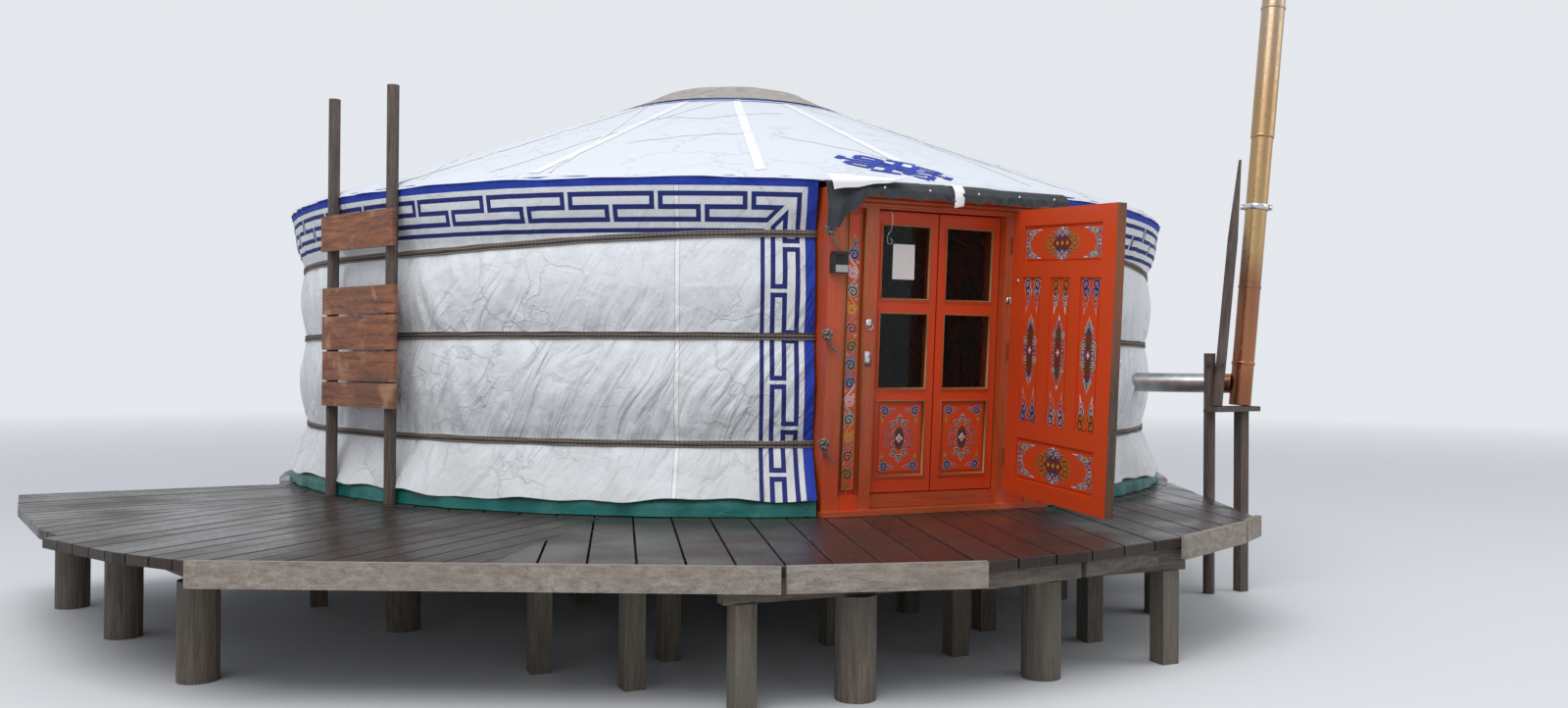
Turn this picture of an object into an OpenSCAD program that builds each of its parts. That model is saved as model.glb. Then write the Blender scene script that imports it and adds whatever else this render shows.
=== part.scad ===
// A five-section felt yurt on a round timber floor with a front terrace.
// The origin is on the ground under the crown, +Z is up and the door faces -Y.
// An azimuth is counted from -Y, and it is positive towards +X.

/* [Deck] */
// Height of the deck boards above the ground
deck_h = 580; // [480:10:720]
// Thickness of the deck boards
board_t = 45; // [28:1:60]
// Radius of the round floor under the yurt
floor_r = 3130; // [3100:10:3700]
// Clear gap between two neighbouring deck panels
panel_gap = 6; // [3:1:12]
// Depth of the joists under the boards
joist_h = 110; // [80:5:140]
// Width of a joist
joist_w = 70; // [50:5:100]
// Diameter of a thick log post
log_d = 170; // [110:10:200]
// Side of a sawn post
sawn_w = 90; // [60:5:120]
// Thickness of the edge planks
fascia_t = 30; // [20:1:40]
// Height of the edge planks
fascia_h = 105; // [80:5:140]

/* [Wall] */
// Height of the tips of the wall laths above the floor
lath_top = 1725; // [1450:5:2100]
// Radius of the wall cover at its tightest rope
waist_r = 2950; // [2450:10:2990]
// Thickness of the felt and canvas together
cover_t = 30; // [18:1:40]
// Number of lattice sections
section_count = 5; // [4:1:6]
// Number of lath crossings along the top of a section
heads_per_section = 14; // [10:1:16]
// Number of crossings that one lath spans
lath_span = 4; // [3:1:5]
// Width of a lath
lath_w = 32; // [22:1:40]
// Thickness of a lath
lath_t = 12; // [8:1:16]
// Height of the lower rope above the floor
rope_low = 360; // [250:10:450]
// Height of the middle rope above the floor
rope_mid = 910; // [700:10:1050]
// Height of the upper rope above the floor
rope_high = 1400; // [1200:10:1420]
// Diameter of one cord of a rope band
cord_d = 11; // [8:1:14]
// Number of cords side by side in a rope band
cord_count = 4; // [3:1:4]
// Height of the skirt below the canvas hem
skirt_h = 60; // [40:5:90]

/* [Roof] */
// Slope of the roof in degrees
roof_pitch = 21; // [18:0.1:27]
// Outer radius of the crown wheel
crown_r = 720; // [560:10:860]
// Width of the crown wheel's rim
rim_w = 64; // [45:1:80]
// Height of the crown wheel's rim
rim_h = 120; // [90:5:150]
// Rise of the crown's spokes above its rim
crown_rise = 150; // [90:5:180]
// Number of spokes in the crown wheel
spoke_count = 8; // [6:2:12]
// Width of a roof pole
pole_w = 38; // [26:1:42]
// Diameter of a crown post
crown_post_d = 74; // [50:2:100]

/* [Door] */
// Clear width between the inner door posts
door_w = 770; // [600:10:900]
// Height of the pair of glazed leaves
leaf_h = 1460; // [1250:10:1480]
// Width of each side panel of the frame with its posts
side_w = 275; // [200:5:330]
// Depth of the door frame
frame_d = 200; // [140:5:220]
// Height of the threshold
sill_h = 95; // [50:5:130]
// Height of the lintel
lintel_h = 98; // [70:2:110]
// Outward lean of the door frame in degrees
door_lean = 3.5; // [0:0.1:5]
// Thickness of a glazed leaf
leaf_t = 38; // [28:1:45]
// Thickness of the solid outer leaf
outer_t = 50; // [35:1:60]
// Width of the solid outer leaf
outer_w = 850; // [700:10:980]
// Height of the solid outer leaf
outer_h = 1495; // [1300:5:1500]
// Width of the upright parts of a leaf
stile_w = 48; // [35:1:60]
// Clearance round a moving leaf
leaf_gap = 6; // [5:1:9]

/* [Flue] */
// Azimuth at which the flue leaves the wall
flue_az = 36.8; // [32:0.1:60]
// Height of the horizontal pipe above the deck
flue_h = 670; // [500:10:800]
// Outer diameter of the flue pipe
flue_d = 126; // [90:2:150]
// Distance of the upright pipe from the yurt's axis
flue_r = 3632; // [3400:2:3900]
// Sideways lean of the upright pipe in degrees
flue_lean = 6; // [0:0.5:7]
// Height of the upright pipe's top above the tee
flue_rise = 2750; // [1800:10:3000]

/* [Signs] */
// Diameter of a sign pole
pole_d = 64; // [45:1:80]
// Height of the sign poles above the deck
sign_pole_h = 2265; // [1900:5:2400]
// Thickness of a sign board
sign_t = 22; // [15:1:30]
// Width of a sign board
sign_w = 720; // [600:5:800]

/* [Hidden] */
seat = 0.3;
$fn = 64;

// Wall lattice: straight laths are rulings of a hyperboloid, so they cross without bending
frame_half = door_w / 2 + side_w;
lath_low = 9;
lath_offset = lath_t / 2 - 0.5;
lattice_out = waist_r - cover_t - seat;
jamb_play = 3;
door_az = asin((frame_half + jamb_play) / (lattice_out - 20));
pitch_az = (360 - 2 * door_az) / (section_count * heads_per_section);
lath_az = lath_span * pitch_az;
k_out = (lath_offset + lath_t / 2) * cos(lath_az / 2) + lath_w / 2 * sin(lath_az / 2);
c_out = pow(lath_offset + lath_t / 2, 2) + pow(lath_w / 2, 2);
lath_r = sqrt(k_out * k_out + lattice_out * lattice_out - c_out) - k_out;
ruling_r = lath_r * cos(lath_az / 2);
lath_rise = lath_top - lath_low;
lath_run = 2 * lath_r * sin(lath_az / 2);
lath_tilt = atan(lath_run / lath_rise);
fork = 0.6;
function along(a) = (1 + tan(a - lath_az / 2) / tan(lath_az / 2)) / 2;
fork_az = (1 - fork) * pitch_az / 2;
fork_z = lath_top - along(fork_az) * lath_rise;

// Roof: each pole lies in the fork of two lath tips, and the cover lies on the poles
head_r = ruling_r / cos(lath_az / 2 - fork_az);
fork_lift = (pole_w / 2 + lath_w / 2 / cos(lath_tilt)) / tan(lath_tilt) + 0.68 * lath_t;
pole_foot_z = deck_h + fork_z + fork_lift;
slope = tan(roof_pitch);
function pole_under(r) = pole_foot_z + (head_r - r) * slope;
function pole_top(r) = pole_under(r) + pole_w / cos(roof_pitch);
function roof_in(r) = pole_top(r) + seat;
function roof_out(r) = roof_in(r) + cover_t / cos(roof_pitch);
eaves_r = waist_r + 100;
pole_end_r = head_r + 45;
rim_top = pole_top(crown_r) - seat;
rim_low = rim_top - rim_h;
dome_r = crown_r + 35;

// Deck: the terrace follows points that are given by azimuth and radius
function polar(r, a) = [r * sin(a), -r * cos(a)];
terrace_front = [
    [-46.75, 4850], [-18.6, 4520], [-8.2, 4515], [-1.3, 4390], [7.4, 4250], [17, 4095], [21, 4030]
];
terrace_left = [[-84, 4530], [-75, 4560], [-63, 4690], [-59.65, 4715]];
terrace_mid = [[-59.55, 4790], [-52, 4840], [-46.85, 4850]];
terrace_end_az = 46;
inner_r = floor_r + panel_gap;

module at_az(a) { rotate([0, 0, a]) children(); }

// One part of the terrace from outline points, cut back from the round floor
module deck_panel(points) {
    translate([0, 0, deck_h - board_t])
        linear_extrude(board_t)
            difference() {
                polygon(points);
                circle(r = inner_r, $fn = 180);
            }
}

function outline(list) = [for (p = list) polar(p[1], p[0])];

module terrace_panels() {
    color("#4a3c33") {
        deck_panel(concat([[0, 0]], outline(terrace_left)));
        deck_panel(concat([[0, 0]], outline(terrace_mid)));
        deck_panel(concat([[0, 0]], outline(terrace_front), [polar(inner_r + 20, terrace_end_az)]));
    }
}

module floor() {
    color("#5a4638")
        translate([0, 0, deck_h - board_t])
            cylinder(r = floor_r, h = board_t, $fn = 180);
}

// A beam that lies on edge between two points of the deck's plan
module beam(p, q, w, h, top) {
    d = q - p;
    translate([p[0], p[1], top - h])
        rotate([0, 0, atan2(d[1], d[0])])
            translate([0, -w / 2, 0])
                cube([norm(d), w, h]);
}

joist_top = deck_h - board_t - seat;
joist_rows = [-3, -2, -1, 0, 1, 2, 3];
row_step = 900;
row_end = 60;
function chord(y, r) = sqrt(r * r - y * y);
function mix(p, q, t) = p + (q - p) * t;

// Joists of the terrace: two ends each, with how far along it each log or sawn post stands
terrace_joists = [
    [[-1640, -4130], [620, -4130]],
    [[-2050, -3640], [1360, -3640]],
    [[-2300, -3230], [1640, -3230]],
    [polar(3420, -84), polar(3420, -47)],
    [polar(4330, -82), polar(4560, -49)]
];
terrace_logs = [[0.26, 0.66], [], [0.91], [0.9], [0.12, 0.5, 0.93]];
terrace_sawn = [[0.04, 0.96], [0.06, 0.52, 0.745], [0.04, 0.19, 0.4, 0.62], [0.08, 0.5], []];
rim_beam_h = 70;
rim_inset = 45;
rim_ends = [[0.02, 0.97], [0.02, 0.8]];
front_joist_end = 1930;
tie_back = 280;
tie_az = [-66, -57];
tie_reach = 65;

module deck_joists() {
    color("#6b5a48") {
        for (i = joist_rows) {
            y = i * row_step;
            reach = chord(y, floor_r) - row_end;
            right_end = i == joist_rows[0] ? front_joist_end : reach;
            beam([-reach, y], [right_end, y], joist_w, joist_h, joist_top);
        }
        for (j = terrace_joists)
            beam(j[0], j[1], joist_w, joist_h, joist_top);
        for (a = tie_az)
            beam(polar(floor_r - tie_back, a), polar(floor_r + tie_reach, a), joist_w, joist_h, joist_top);
        for (i = [2:3]) {
            p = polar(terrace_front[i][1] - rim_inset, terrace_front[i][0]);
            q = polar(terrace_front[i + 1][1] - rim_inset, terrace_front[i + 1][0]);
            ends = rim_ends[i - 2];
            beam(mix(p, q, ends[0]), mix(p, q, ends[1]), fascia_t, rim_beam_h, joist_top);
        }
    }
}

post_top = joist_top - joist_h - seat;
row_post_reach = 0.62;

module post(at, log) {
    translate([at[0], at[1], 0])
        if (log)
            cylinder(d = log_d, h = post_top);
        else
            translate([-sawn_w / 2, -sawn_w / 2, 0])
                cube([sawn_w, sawn_w, post_top]);
}

// Posts stand under the joists, logs where the load is greatest
module deck_posts() {
    color("#75624e") {
        for (i = joist_rows, side = [-1, 0, 1])
            post([side * row_post_reach * chord(i * row_step, floor_r), i * row_step], false);
        for (k = [0:len(terrace_joists) - 1]) {
            for (t = terrace_logs[k])
                post(mix(terrace_joists[k][0], terrace_joists[k][1], t), true);
            for (t = terrace_sawn[k])
                post(mix(terrace_joists[k][0], terrace_joists[k][1], t), false);
        }
    }
}

plank_gap = 8;

// A plank set on edge against the ends of the boards
module edge_plank(a, b, drop) {
    p = polar(a[1], a[0]);
    q = polar(b[1], b[0]);
    d = q - p;
    n = [d[1], -d[0]] / norm(d);
    out = p + n * (fascia_t / 2 + seat);
    gap = d / norm(d) * plank_gap;
    beam(out + gap, out + d - gap, fascia_t, fascia_h, deck_h + drop);
}

module edge_planks() {
    color("#8b857a") {
        edge_plank(terrace_front[0], terrace_front[1], 4);
        edge_plank(terrace_front[1], terrace_front[2], 6);
        edge_plank(terrace_front[4], terrace_front[5], 8);
        edge_plank(terrace_front[5], terrace_front[6], 10);
    }
}

// One lath between two azimuths counted from its own start, leaning one way or the other
module lath(start, from_az, to_az, side) {
    t0 = along(from_az);
    t1 = along(to_az);
    full = norm([lath_run, lath_rise]);
    at_az(start + side * lath_az / 2)
        translate([0, -ruling_r - side * lath_offset, deck_h + lath_low + lath_rise / 2])
            rotate([0, side * lath_tilt, 0])
                translate([-lath_w / 2, -lath_t / 2, (t0 - 0.5) * full])
                    cube([lath_w, lath_t, (t1 - t0) * full]);
}

section_az = heads_per_section * pitch_az;
section_margin = 0.55;
least_lath = 0.8 * pitch_az;

// A section of the lattice: two families of laths that cross, cut plumb at both ends
module lattice(i) {
    lo = door_az + (i - 1) * section_az + section_margin;
    hi = lo + section_az - 2 * section_margin;
    color("#c8752e")
        union() {
            for (j = [-lath_span - 1:heads_per_section + lath_span]) {
                rise = lo - section_margin + (j + 0.5 - (2 * lath_span - 1 + fork) / 2) * pitch_az;
                a0 = max(rise, lo);
                a1 = min(rise + lath_az, hi);
                if (a1 - a0 > least_lath)
                    lath(rise, a0 - rise, a1 - rise, 1);
                fall = rise + (2 * lath_span - 1 + fork) * pitch_az;
                b0 = min(fall, hi);
                b1 = max(fall - lath_az, lo);
                if (b0 - b1 > least_lath)
                    lath(fall, fall - b0, fall - b1, -1);
            }
        }
}

// Profile of the cover from hem to eaves, drawn in at each rope
hem_z = skirt_h + seat;
rope_flat = cord_d * cord_count / 2 + 4;
top_z = roof_in(eaves_r) - deck_h - 2;
function waist(z, r) = [[r, z - rope_flat], [r, z + rope_flat]];
cover_line = concat(
    [[waist_r + 95, hem_z], [waist_r + 50, 0.5 * rope_low]],
    waist(rope_low, waist_r), [[waist_r + 35, (rope_low + rope_mid) / 2]],
    waist(rope_mid, waist_r + 18), [[waist_r + 42, (rope_mid + rope_high) / 2]],
    waist(rope_high, waist_r + 28), [[waist_r + 75, (rope_high + top_z) / 2], [eaves_r, top_z]]
);
function inset(line, t) = [for (i = [len(line) - 1:-1:0]) [line[i][0] - t, line[i][1]]];
cover_az = asin((frame_half + seat) / (waist_r - cover_t));
cover_arc = (360 - 2 * cover_az) / 6;
cover_joint = 0.008;

// A ring sector around the yurt: azimuths from a to b, profile given as radius and height
module ring_sector(a, b) {
    rotate([0, 0, a - 90])
        rotate_extrude(angle = b - a, $fn = 120)
            children();
}

module wall_cover(i) {
    a = cover_az + (i - 1) * cover_arc + (i == 1 ? 0 : cover_joint);
    color("#e8e8e4")
        translate([0, 0, deck_h])
            ring_sector(a, cover_az + i * cover_arc)
                polygon(concat(cover_line, inset(cover_line, cover_t)));
}

module wall_skirt() {
    color("#0f7a6c")
        translate([0, 0, deck_h + seat])
            ring_sector(cover_az, 360 - cover_az)
                translate([waist_r + 68, 0])
                    square([24, skirt_h - seat]);
}

// A flat band of cords laid side by side, with one ridge for each cord
module rope_band(z, r) {
    low = z - cord_count * cord_d / 2;
    ridges = [for (i = [0:cord_count - 1], k = [[0.7, 0.12], [1, 0.5], [0.7, 0.88]])
        [r + seat + k[0] * cord_d, low + (i + k[1]) * cord_d]];
    ring_sector(cover_az, 360 - cover_az)
        polygon(concat([[r + seat, low]], ridges, [[r + seat, low + cord_count * cord_d]]));
}

module girth_ropes() {
    color("#6f675d")
        translate([0, 0, deck_h]) {
            rope_band(rope_low, waist_r);
            rope_band(rope_mid, waist_r + 18);
            rope_band(rope_high, waist_r + 28);
        }
}

// Roof poles, one in each fork and five more above the door
pole_azimuths = concat(
    [for (i = [0:section_count * heads_per_section - 1]) door_az + (i + 0.5) * pitch_az],
    [for (i = [-2:2]) i * 2 * door_az / 6]
);

module roof_pole(a) {
    len = (pole_end_r - crown_r - seat) / cos(roof_pitch);
    at_az(a)
        translate([-pole_w / 2, -crown_r - seat, pole_under(crown_r + seat)])
            rotate([roof_pitch, 0, 0])
                translate([0, -len, 0])
                    cube([pole_w, len, pole_w]);
}

function on_left(a) = (a < 0 || a > 180);

module roof_poles(left) {
    color("#d0671f")
        for (a = pole_azimuths)
            if (on_left(a) == left)
                roof_pole(a);
}

module crown_wheel() {
    color("#c9561c")
        union() {
            translate([0, 0, rim_low])
                difference() {
                    cylinder(r = crown_r, h = rim_h, $fn = 120);
                    translate([0, 0, -1])
                        cylinder(r = crown_r - rim_w, h = rim_h + 2, $fn = 120);
                }
            for (i = [0:spoke_count - 1])
                at_az(i * 360 / spoke_count)
                    crown_spoke();
            translate([0, 0, rim_top + crown_rise - spoke_deep - hub_past[0]])
                cylinder(r = hub_r, h = spoke_deep + hub_past[0] + hub_past[1]);
        }
}

spoke_w = 34;
spoke_deep = 40;
hub_r = 90;
hub_past = [10, 6];
spoke_reach = crown_r - rim_w / 2;
spoke_bend = (spoke_reach * spoke_reach + crown_rise * crown_rise) / (2 * crown_rise);

// A spoke is an arc that leaves the rim and ends level in the hub
module crown_spoke() {
    translate([spoke_w / 2, 0, rim_top + crown_rise - spoke_bend])
        rotate([90, 0, -90])
            arc_bar(spoke_bend, asin(hub_r * 0.6 / spoke_bend), asin(spoke_reach / spoke_bend));
}

// A square bar bent to a radius, from one angle to another off the upright
module arc_bar(r, from, to) {
    rotate([0, 0, 90 - to])
        rotate_extrude(angle = to - from, $fn = 180)
            translate([r - spoke_deep, 0])
                square([spoke_deep, spoke_w]);
}

post_head = [60, 340, 60];

// Two posts with a long head each carry the crown
module crown_posts() {
    top = rim_low - deck_h - seat;
    color("#c9561c")
        for (s = [-1, 1])
            translate([s * (crown_r - rim_w / 2), 0, deck_h + seat]) {
                cylinder(d = crown_post_d, h = top - seat, $fn = 8);
                translate([-post_head[0] / 2, -post_head[1] / 2, top - seat - post_head[2]])
                    cube(post_head);
            }
}

module roof_cover(i) {
    edge = dome_r - 60;
    color("#eceeee")
        ring_sector(i * 90 - 45 + cover_joint, i * 90 + 45)
            polygon([
                [edge, roof_in(edge)], [eaves_r - 4, roof_in(eaves_r - 4)], [eaves_r + 6, roof_in(eaves_r)],
                [eaves_r + 2, roof_out(eaves_r) - 6], [eaves_r - 25, roof_out(eaves_r - 25)],
                [edge, roof_out(edge)]
            ]);
}

dome_top = rim_top + crown_rise + 20;

dome_foot = dome_r - 65;

// The crown cover is a shallow mesh dome with a flat top over the spokes
module crown_cover() {
    low = roof_out(dome_r) + seat;
    bend = low + 0.74 * (dome_top - low);
    color("#b9b3a6")
        rotate_extrude($fn = 120)
            polygon([
                [dome_r, low], [dome_r, low + 5], [dome_foot, roof_out(dome_foot) + 12],
                [dome_r * 0.72, bend], [dome_r * 0.46, dome_top - 5],
                [0, dome_top], [0, dome_top - 8], [dome_r * 0.46, dome_top - 13],
                [dome_r * 0.70, bend - 10], [dome_foot - 6, roof_out(dome_foot - 6) + seat]
            ]);
}

// Door: its pieces are placed in the plane of the frame's front face, which leans outwards
frame_y = waist_r + 15;
frame_h = sill_h + 2 * leaf_gap + leaf_h + lintel_h;

module door_plane() {
    translate([0, -frame_y, deck_h])
        rotate([door_lean, 0, 0])
            children();
}

post_in = 72;
post_out = 95;
head_low = frame_h - lintel_h;

module door_posts() {
    color("#c4571d")
        door_plane()
            for (s = [0, 1])
                mirror([s, 0, 0]) {
                    translate([door_w / 2, 0, seat])
                        cube([post_in, frame_d, head_low - 2 * seat]);
                    translate([frame_half - post_out, 0, seat])
                        cube([post_out, frame_d, head_low - 2 * seat]);
                }
}

module door_lintel() {
    color("#c4571d")
        door_plane()
            translate([-frame_half, 0, head_low])
                cube([2 * frame_half, frame_d, lintel_h]);
}

step_set = 25;
sill_board = [40, 60, 26];

// The threshold between the inner posts, and a grey board on the deck before the frame
module door_threshold() {
    color("#c4571d")
        door_plane()
            translate([-door_w / 2 + seat, step_set, seat])
                cube([door_w - 2 * seat, frame_d - 2 * step_set, sill_h - seat]);
    color("#85868a")
        translate([-frame_half - sill_board[0] / 2, -frame_y - sill_board[1] - 2, deck_h + seat])
            cube([2 * frame_half + sill_board[0], sill_board[1], sill_board[2]]);
}

panel_gap_w = side_w - post_in - post_out;
panel_back = 30;
panel_t = 30;
side_rail_h = 100;
rail_front = 4;
field_rim = 18;
step_w = 7;
step_rise = 6;

// One step of the panel's moulding: a plate in from the panel's edges that rises off its face
module side_step(rim, rise) {
    translate([rim, panel_back - rise, side_rail_h + rim + step_w])
        cube([panel_gap_w - 2 * seat - 2 * rim, rise + 1, head_low - side_rail_h - 2 * rim - 3 * step_w]);
}

// The fixed panel between the two posts, with a rail below and a stepped field
module side_panels() {
    color("#d0481c")
        door_plane()
            for (s = [0, 1])
                mirror([s, 0, 0])
                    translate([door_w / 2 + post_in + seat, 0, seat])
                        union() {
                            translate([0, panel_back, 0])
                                cube([panel_gap_w - 2 * seat, panel_t, head_low - 2 * seat]);
                            translate([0, rail_front, 0])
                                cube([panel_gap_w - 2 * seat, panel_back - rail_front + 10, side_rail_h]);
                            for (k = [0, 1])
                                side_step(field_rim / 2 * (k + 1), (k + 1) * step_rise);
                        }
}

leaf_low = sill_h + leaf_gap;
leaf_side = 5;
leaf_w = door_w / 2 - leaf_side - 4;
leaf_y = 52;
rail_low = 86;
panel_h = 0.267 * leaf_h;
rail_mid = 68;
glass_low_h = 0.267 * leaf_h;
rail_high = 76;
rail_top = 72;
glass_low_z = rail_low + panel_h + rail_mid;
glass_high_z = glass_low_z + glass_low_h + rail_high;
glass_high_h = leaf_h - rail_top - glass_high_z;
leaf_pin_r = 4;
leaf_knuckle_r = 8;
leaf_pin_x = door_w / 2 - leaf_side - leaf_knuckle_r;
leaf_pin_y = leaf_y + leaf_t + leaf_knuckle_r + 1;
leaf_knuckle_z = [0.12, 0.5, 0.88];
knuckle_h = 70;
pin_clear = 0.3;
strap_w = 40;

pane_w = leaf_w - 2 * stile_w;
bead_w = 12;
bead_rise = 5;
panel_sink = 12;
field_in = 20;
field_proud = 6;

// The space in front of a leaf's lower panel, from one depth to another, less its raised field
module leaf_panel(from, to) {
    front = from < 0;
    difference() {
        translate([0, from, 0])
            cube([pane_w, to - from, panel_h]);
        translate([field_in, front ? to - field_proud : from - 1, field_in])
            cube([pane_w - 2 * field_in, field_proud + 1, panel_h - 2 * field_in]);
    }
}

// A glazed leaf seen as the left one: two panes over a fielded panel
module glazed_frame() {
    difference() {
        union() {
            translate([-door_w / 2 + leaf_side, leaf_y, leaf_low])
                cube([leaf_w, leaf_t, leaf_h]);
            for (f = leaf_knuckle_z)
                translate([-leaf_pin_x, leaf_pin_y, leaf_low + f * leaf_h])
                    leaf_knuckle();
            translate([-door_w / 2 + leaf_side + stile_w, leaf_y, leaf_low])
                for (z = [[rail_low, panel_h], [glass_low_z, glass_low_h], [glass_high_z, glass_high_h]])
                    translate([-bead_w, -bead_rise, z[0] - bead_w])
                        cube([pane_w + 2 * bead_w, bead_rise + 1, z[1] + 2 * bead_w]);
        }
        translate([-door_w / 2 + leaf_side + stile_w, leaf_y, leaf_low]) {
            translate([0, -1 - bead_rise, glass_low_z])
                cube([pane_w, leaf_t + 2 + bead_rise, glass_low_h]);
            translate([0, -1 - bead_rise, glass_high_z])
                cube([pane_w, leaf_t + 2 + bead_rise, glass_high_h]);
            translate([0, 0, rail_low])
                leaf_panel(-1 - bead_rise, panel_sink);
            translate([0, 0, rail_low])
                leaf_panel(leaf_t - panel_sink, leaf_t + 1);
        }
        for (f = leaf_knuckle_z)
            translate([-leaf_pin_x, leaf_pin_y, leaf_low + f * leaf_h - knuckle_h])
                cylinder(r = leaf_pin_r + pin_clear, h = 2 * knuckle_h, $fn = 24);
    }
}

// Half of a butt hinge that is fixed to the leaf's back: a barrel and its strap
module leaf_knuckle() {
    translate([0, 0, -knuckle_h / 2])
        cylinder(r = leaf_knuckle_r, h = knuckle_h, $fn = 24);
    translate([0, -leaf_knuckle_r - 2, -knuckle_h / 2])
        cube([strap_w, leaf_knuckle_r, knuckle_h]);
}

module glazed_leaf_left() {
    color("#d4421b")
        door_plane()
            glazed_frame();
}

module glazed_leaf_right() {
    color("#d4421b")
        door_plane()
            mirror([1, 0, 0])
                glazed_frame();
}

glass_t = 5;

module panes() {
    pane_x = -door_w / 2 + leaf_side + stile_w + seat;
    for (z = [[glass_low_z, glass_low_h], [glass_high_z, glass_high_h]])
        translate([pane_x, leaf_y + leaf_t / 2 - glass_t / 2, leaf_low + z[0] + seat])
            cube([pane_w - 2 * seat, glass_t, z[1] - 2 * seat]);
}

module glass_left() {
    color("#3c4a4c")
        door_plane()
            panes();
}

module glass_right() {
    color("#3c4a4c")
        door_plane()
            mirror([1, 0, 0])
                panes();
}

outer_low = sill_h + 5;
outer_pin_x = door_w / 2 + 42;
outer_gap = 8;
outer_pin_y = -outer_gap - outer_t / 2;
outer_edge = 7;
outer_stile = 0.124 * outer_w;
muntin_w = 0.1 * outer_w;
outer_rail = 84;
head_panel_h = 190;
foot_panel_h = 220;
outer_panel_w = (outer_w - 2 * outer_stile - 2 * muntin_w) / 3;
tall_panel_z = outer_rail + foot_panel_h + outer_rail;
tall_panel_h = outer_h - tall_panel_z - outer_rail - head_panel_h - outer_rail + 8;
field_depth = 11;
groove_w = 16;
groove_lift = 4;

// A sunk panel with a slightly raised field on one face of the solid leaf
module sunk_panel(y, z, w, h) {
    translate([-1, y, z])
        difference() {
            cube([field_depth + 1, w, h]);
            translate([field_depth - groove_lift, groove_w, groove_w])
                cube([groove_lift + 2, w - 2 * groove_w, h - 2 * groove_w]);
        }
}

// The solid leaf stands open square to the frame and turns on pins at the right post
module outer_leaf() {
    color("#d8431c")
        door_plane()
            translate([outer_pin_x, outer_pin_y, outer_low])
                difference() {
                    union() {
                        translate([-outer_t / 2, -outer_edge - outer_w, 0])
                            cube([outer_t, outer_w, outer_h]);
                        for (f = leaf_knuckle_z)
                            translate([0, 0, f * outer_h - knuckle_h / 2])
                                outer_knuckle();
                    }
                    outer_fields();
                    for (f = leaf_knuckle_z)
                        translate([0, 0, f * outer_h - knuckle_h])
                            cylinder(r = leaf_pin_r + pin_clear, h = 2 * knuckle_h, $fn = 24);
                }
}

module outer_knuckle() {
    cylinder(r = leaf_knuckle_r, h = knuckle_h, $fn = 24);
    translate([-3, -60, 0])
        cube([6, 56, knuckle_h]);
}

module outer_fields() {
    full_w = outer_w - 2 * outer_stile;
    far = -outer_edge - outer_w + outer_stile;
    translate([-outer_t / 2, 0, 0]) {
        sunk_panel(far, outer_rail, full_w, foot_panel_h);
        sunk_panel(far, outer_h - outer_rail - head_panel_h, full_w, head_panel_h);
        for (i = [0:2])
            sunk_panel(far + i * (outer_panel_w + muntin_w), tall_panel_z, outer_panel_w, tall_panel_h);
    }
}

// Pins and fixed plates of all the hinges, which stay on the frame
module hinge_pins() {
    color("#7c7a76")
        door_plane() {
            for (f = leaf_knuckle_z) {
                translate([outer_pin_x, outer_pin_y, outer_low + f * outer_h])
                    outer_pin();
                for (s = [0, 1])
                    mirror([s, 0, 0])
                        translate([-leaf_pin_x, leaf_pin_y, leaf_low + f * leaf_h])
                            inner_pin();
            }
        }
}

pin_past = 9;
bracket_t = 6;
plate_t = 5;

// A pin as long as the knuckle and a little past each of its ends
module pin() {
    translate([0, 0, -knuckle_h / 2 - pin_past])
        cylinder(r = leaf_pin_r, h = knuckle_h + 2 * pin_past, $fn = 24);
}

bracket_z = [-knuckle_h / 2 - pin_past, knuckle_h / 2 + pin_past - bracket_t];

// A pin held by a bracket above and below the knuckle, with a plate on the frame's front
module outer_pin() {
    union() {
        pin();
        for (z = bracket_z)
            translate([-bracket_t / 2, -leaf_pin_r, z])
                cube([bracket_t, leaf_pin_r - outer_pin_y - seat, bracket_t]);
        translate([-plate_t, -outer_pin_y - seat - plate_t, bracket_z[0]])
            cube([strap_w, plate_t, knuckle_h + 2 * pin_past]);
    }
}

// The same on the side of the inner post
module inner_pin() {
    reach = door_w / 2 - leaf_pin_x - seat;
    union() {
        pin();
        for (z = bracket_z)
            translate([-reach, -plate_t, z])
                cube([reach + leaf_pin_r, 2 * plate_t, bracket_t]);
        translate([-reach, -plate_t, bracket_z[0]])
            cube([bracket_t / 2, strap_w - bracket_t, knuckle_h + 2 * pin_past]);
    }
}

lamp = [84, 38, 96];
lamp_z = 1230;
hood = [72, 52, 14];

// Small lamp with a solar cell on the left outer post
module door_light() {
    color("#222222")
        door_plane()
            translate([-frame_half + (post_out - lamp[0]) / 2, -lamp[1] - seat, lamp_z])
                union() {
                    cube(lamp);
                    translate([(lamp[0] - hood[0]) / 2, lamp[1] - hood[1], lamp[2]])
                        cube(hood);
                }
}

awning_low = outer_low + outer_h + 16;
awning_reach = outer_t + 53;
awning_side = [10, 50];

// Dark fabric flap folded over the lintel
module awning() {
    color("#3a3d40")
        door_plane()
            translate([-frame_half - awning_side[0], -awning_reach - seat, awning_low])
                rotate([90, 0, 90])
                    linear_extrude(2 * frame_half + awning_side[0] + awning_side[1])
                        polygon([[0, 0], [awning_reach, 8], [awning_reach, 84], [outer_t, 78], [8, 40]]);
}

// Flue: a level branch leaves the wall, and a tee turns it up the outside
flue_wall_r = cover_line[4][0] + seat;
flue_z = deck_h + flue_h;
branch_d = flue_d - 8;
branch_end = flue_r - flue_d / 2 - 42;
flange_t = 6;
flange_rim = 28;

module tube(d, h, wall) {
    difference() {
        cylinder(d = d, h = h, $fn = 48);
        translate([0, 0, -1])
            cylinder(d = d - 2 * wall, h = h + 2, $fn = 48);
    }
}

flue_wall = 3;

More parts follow.
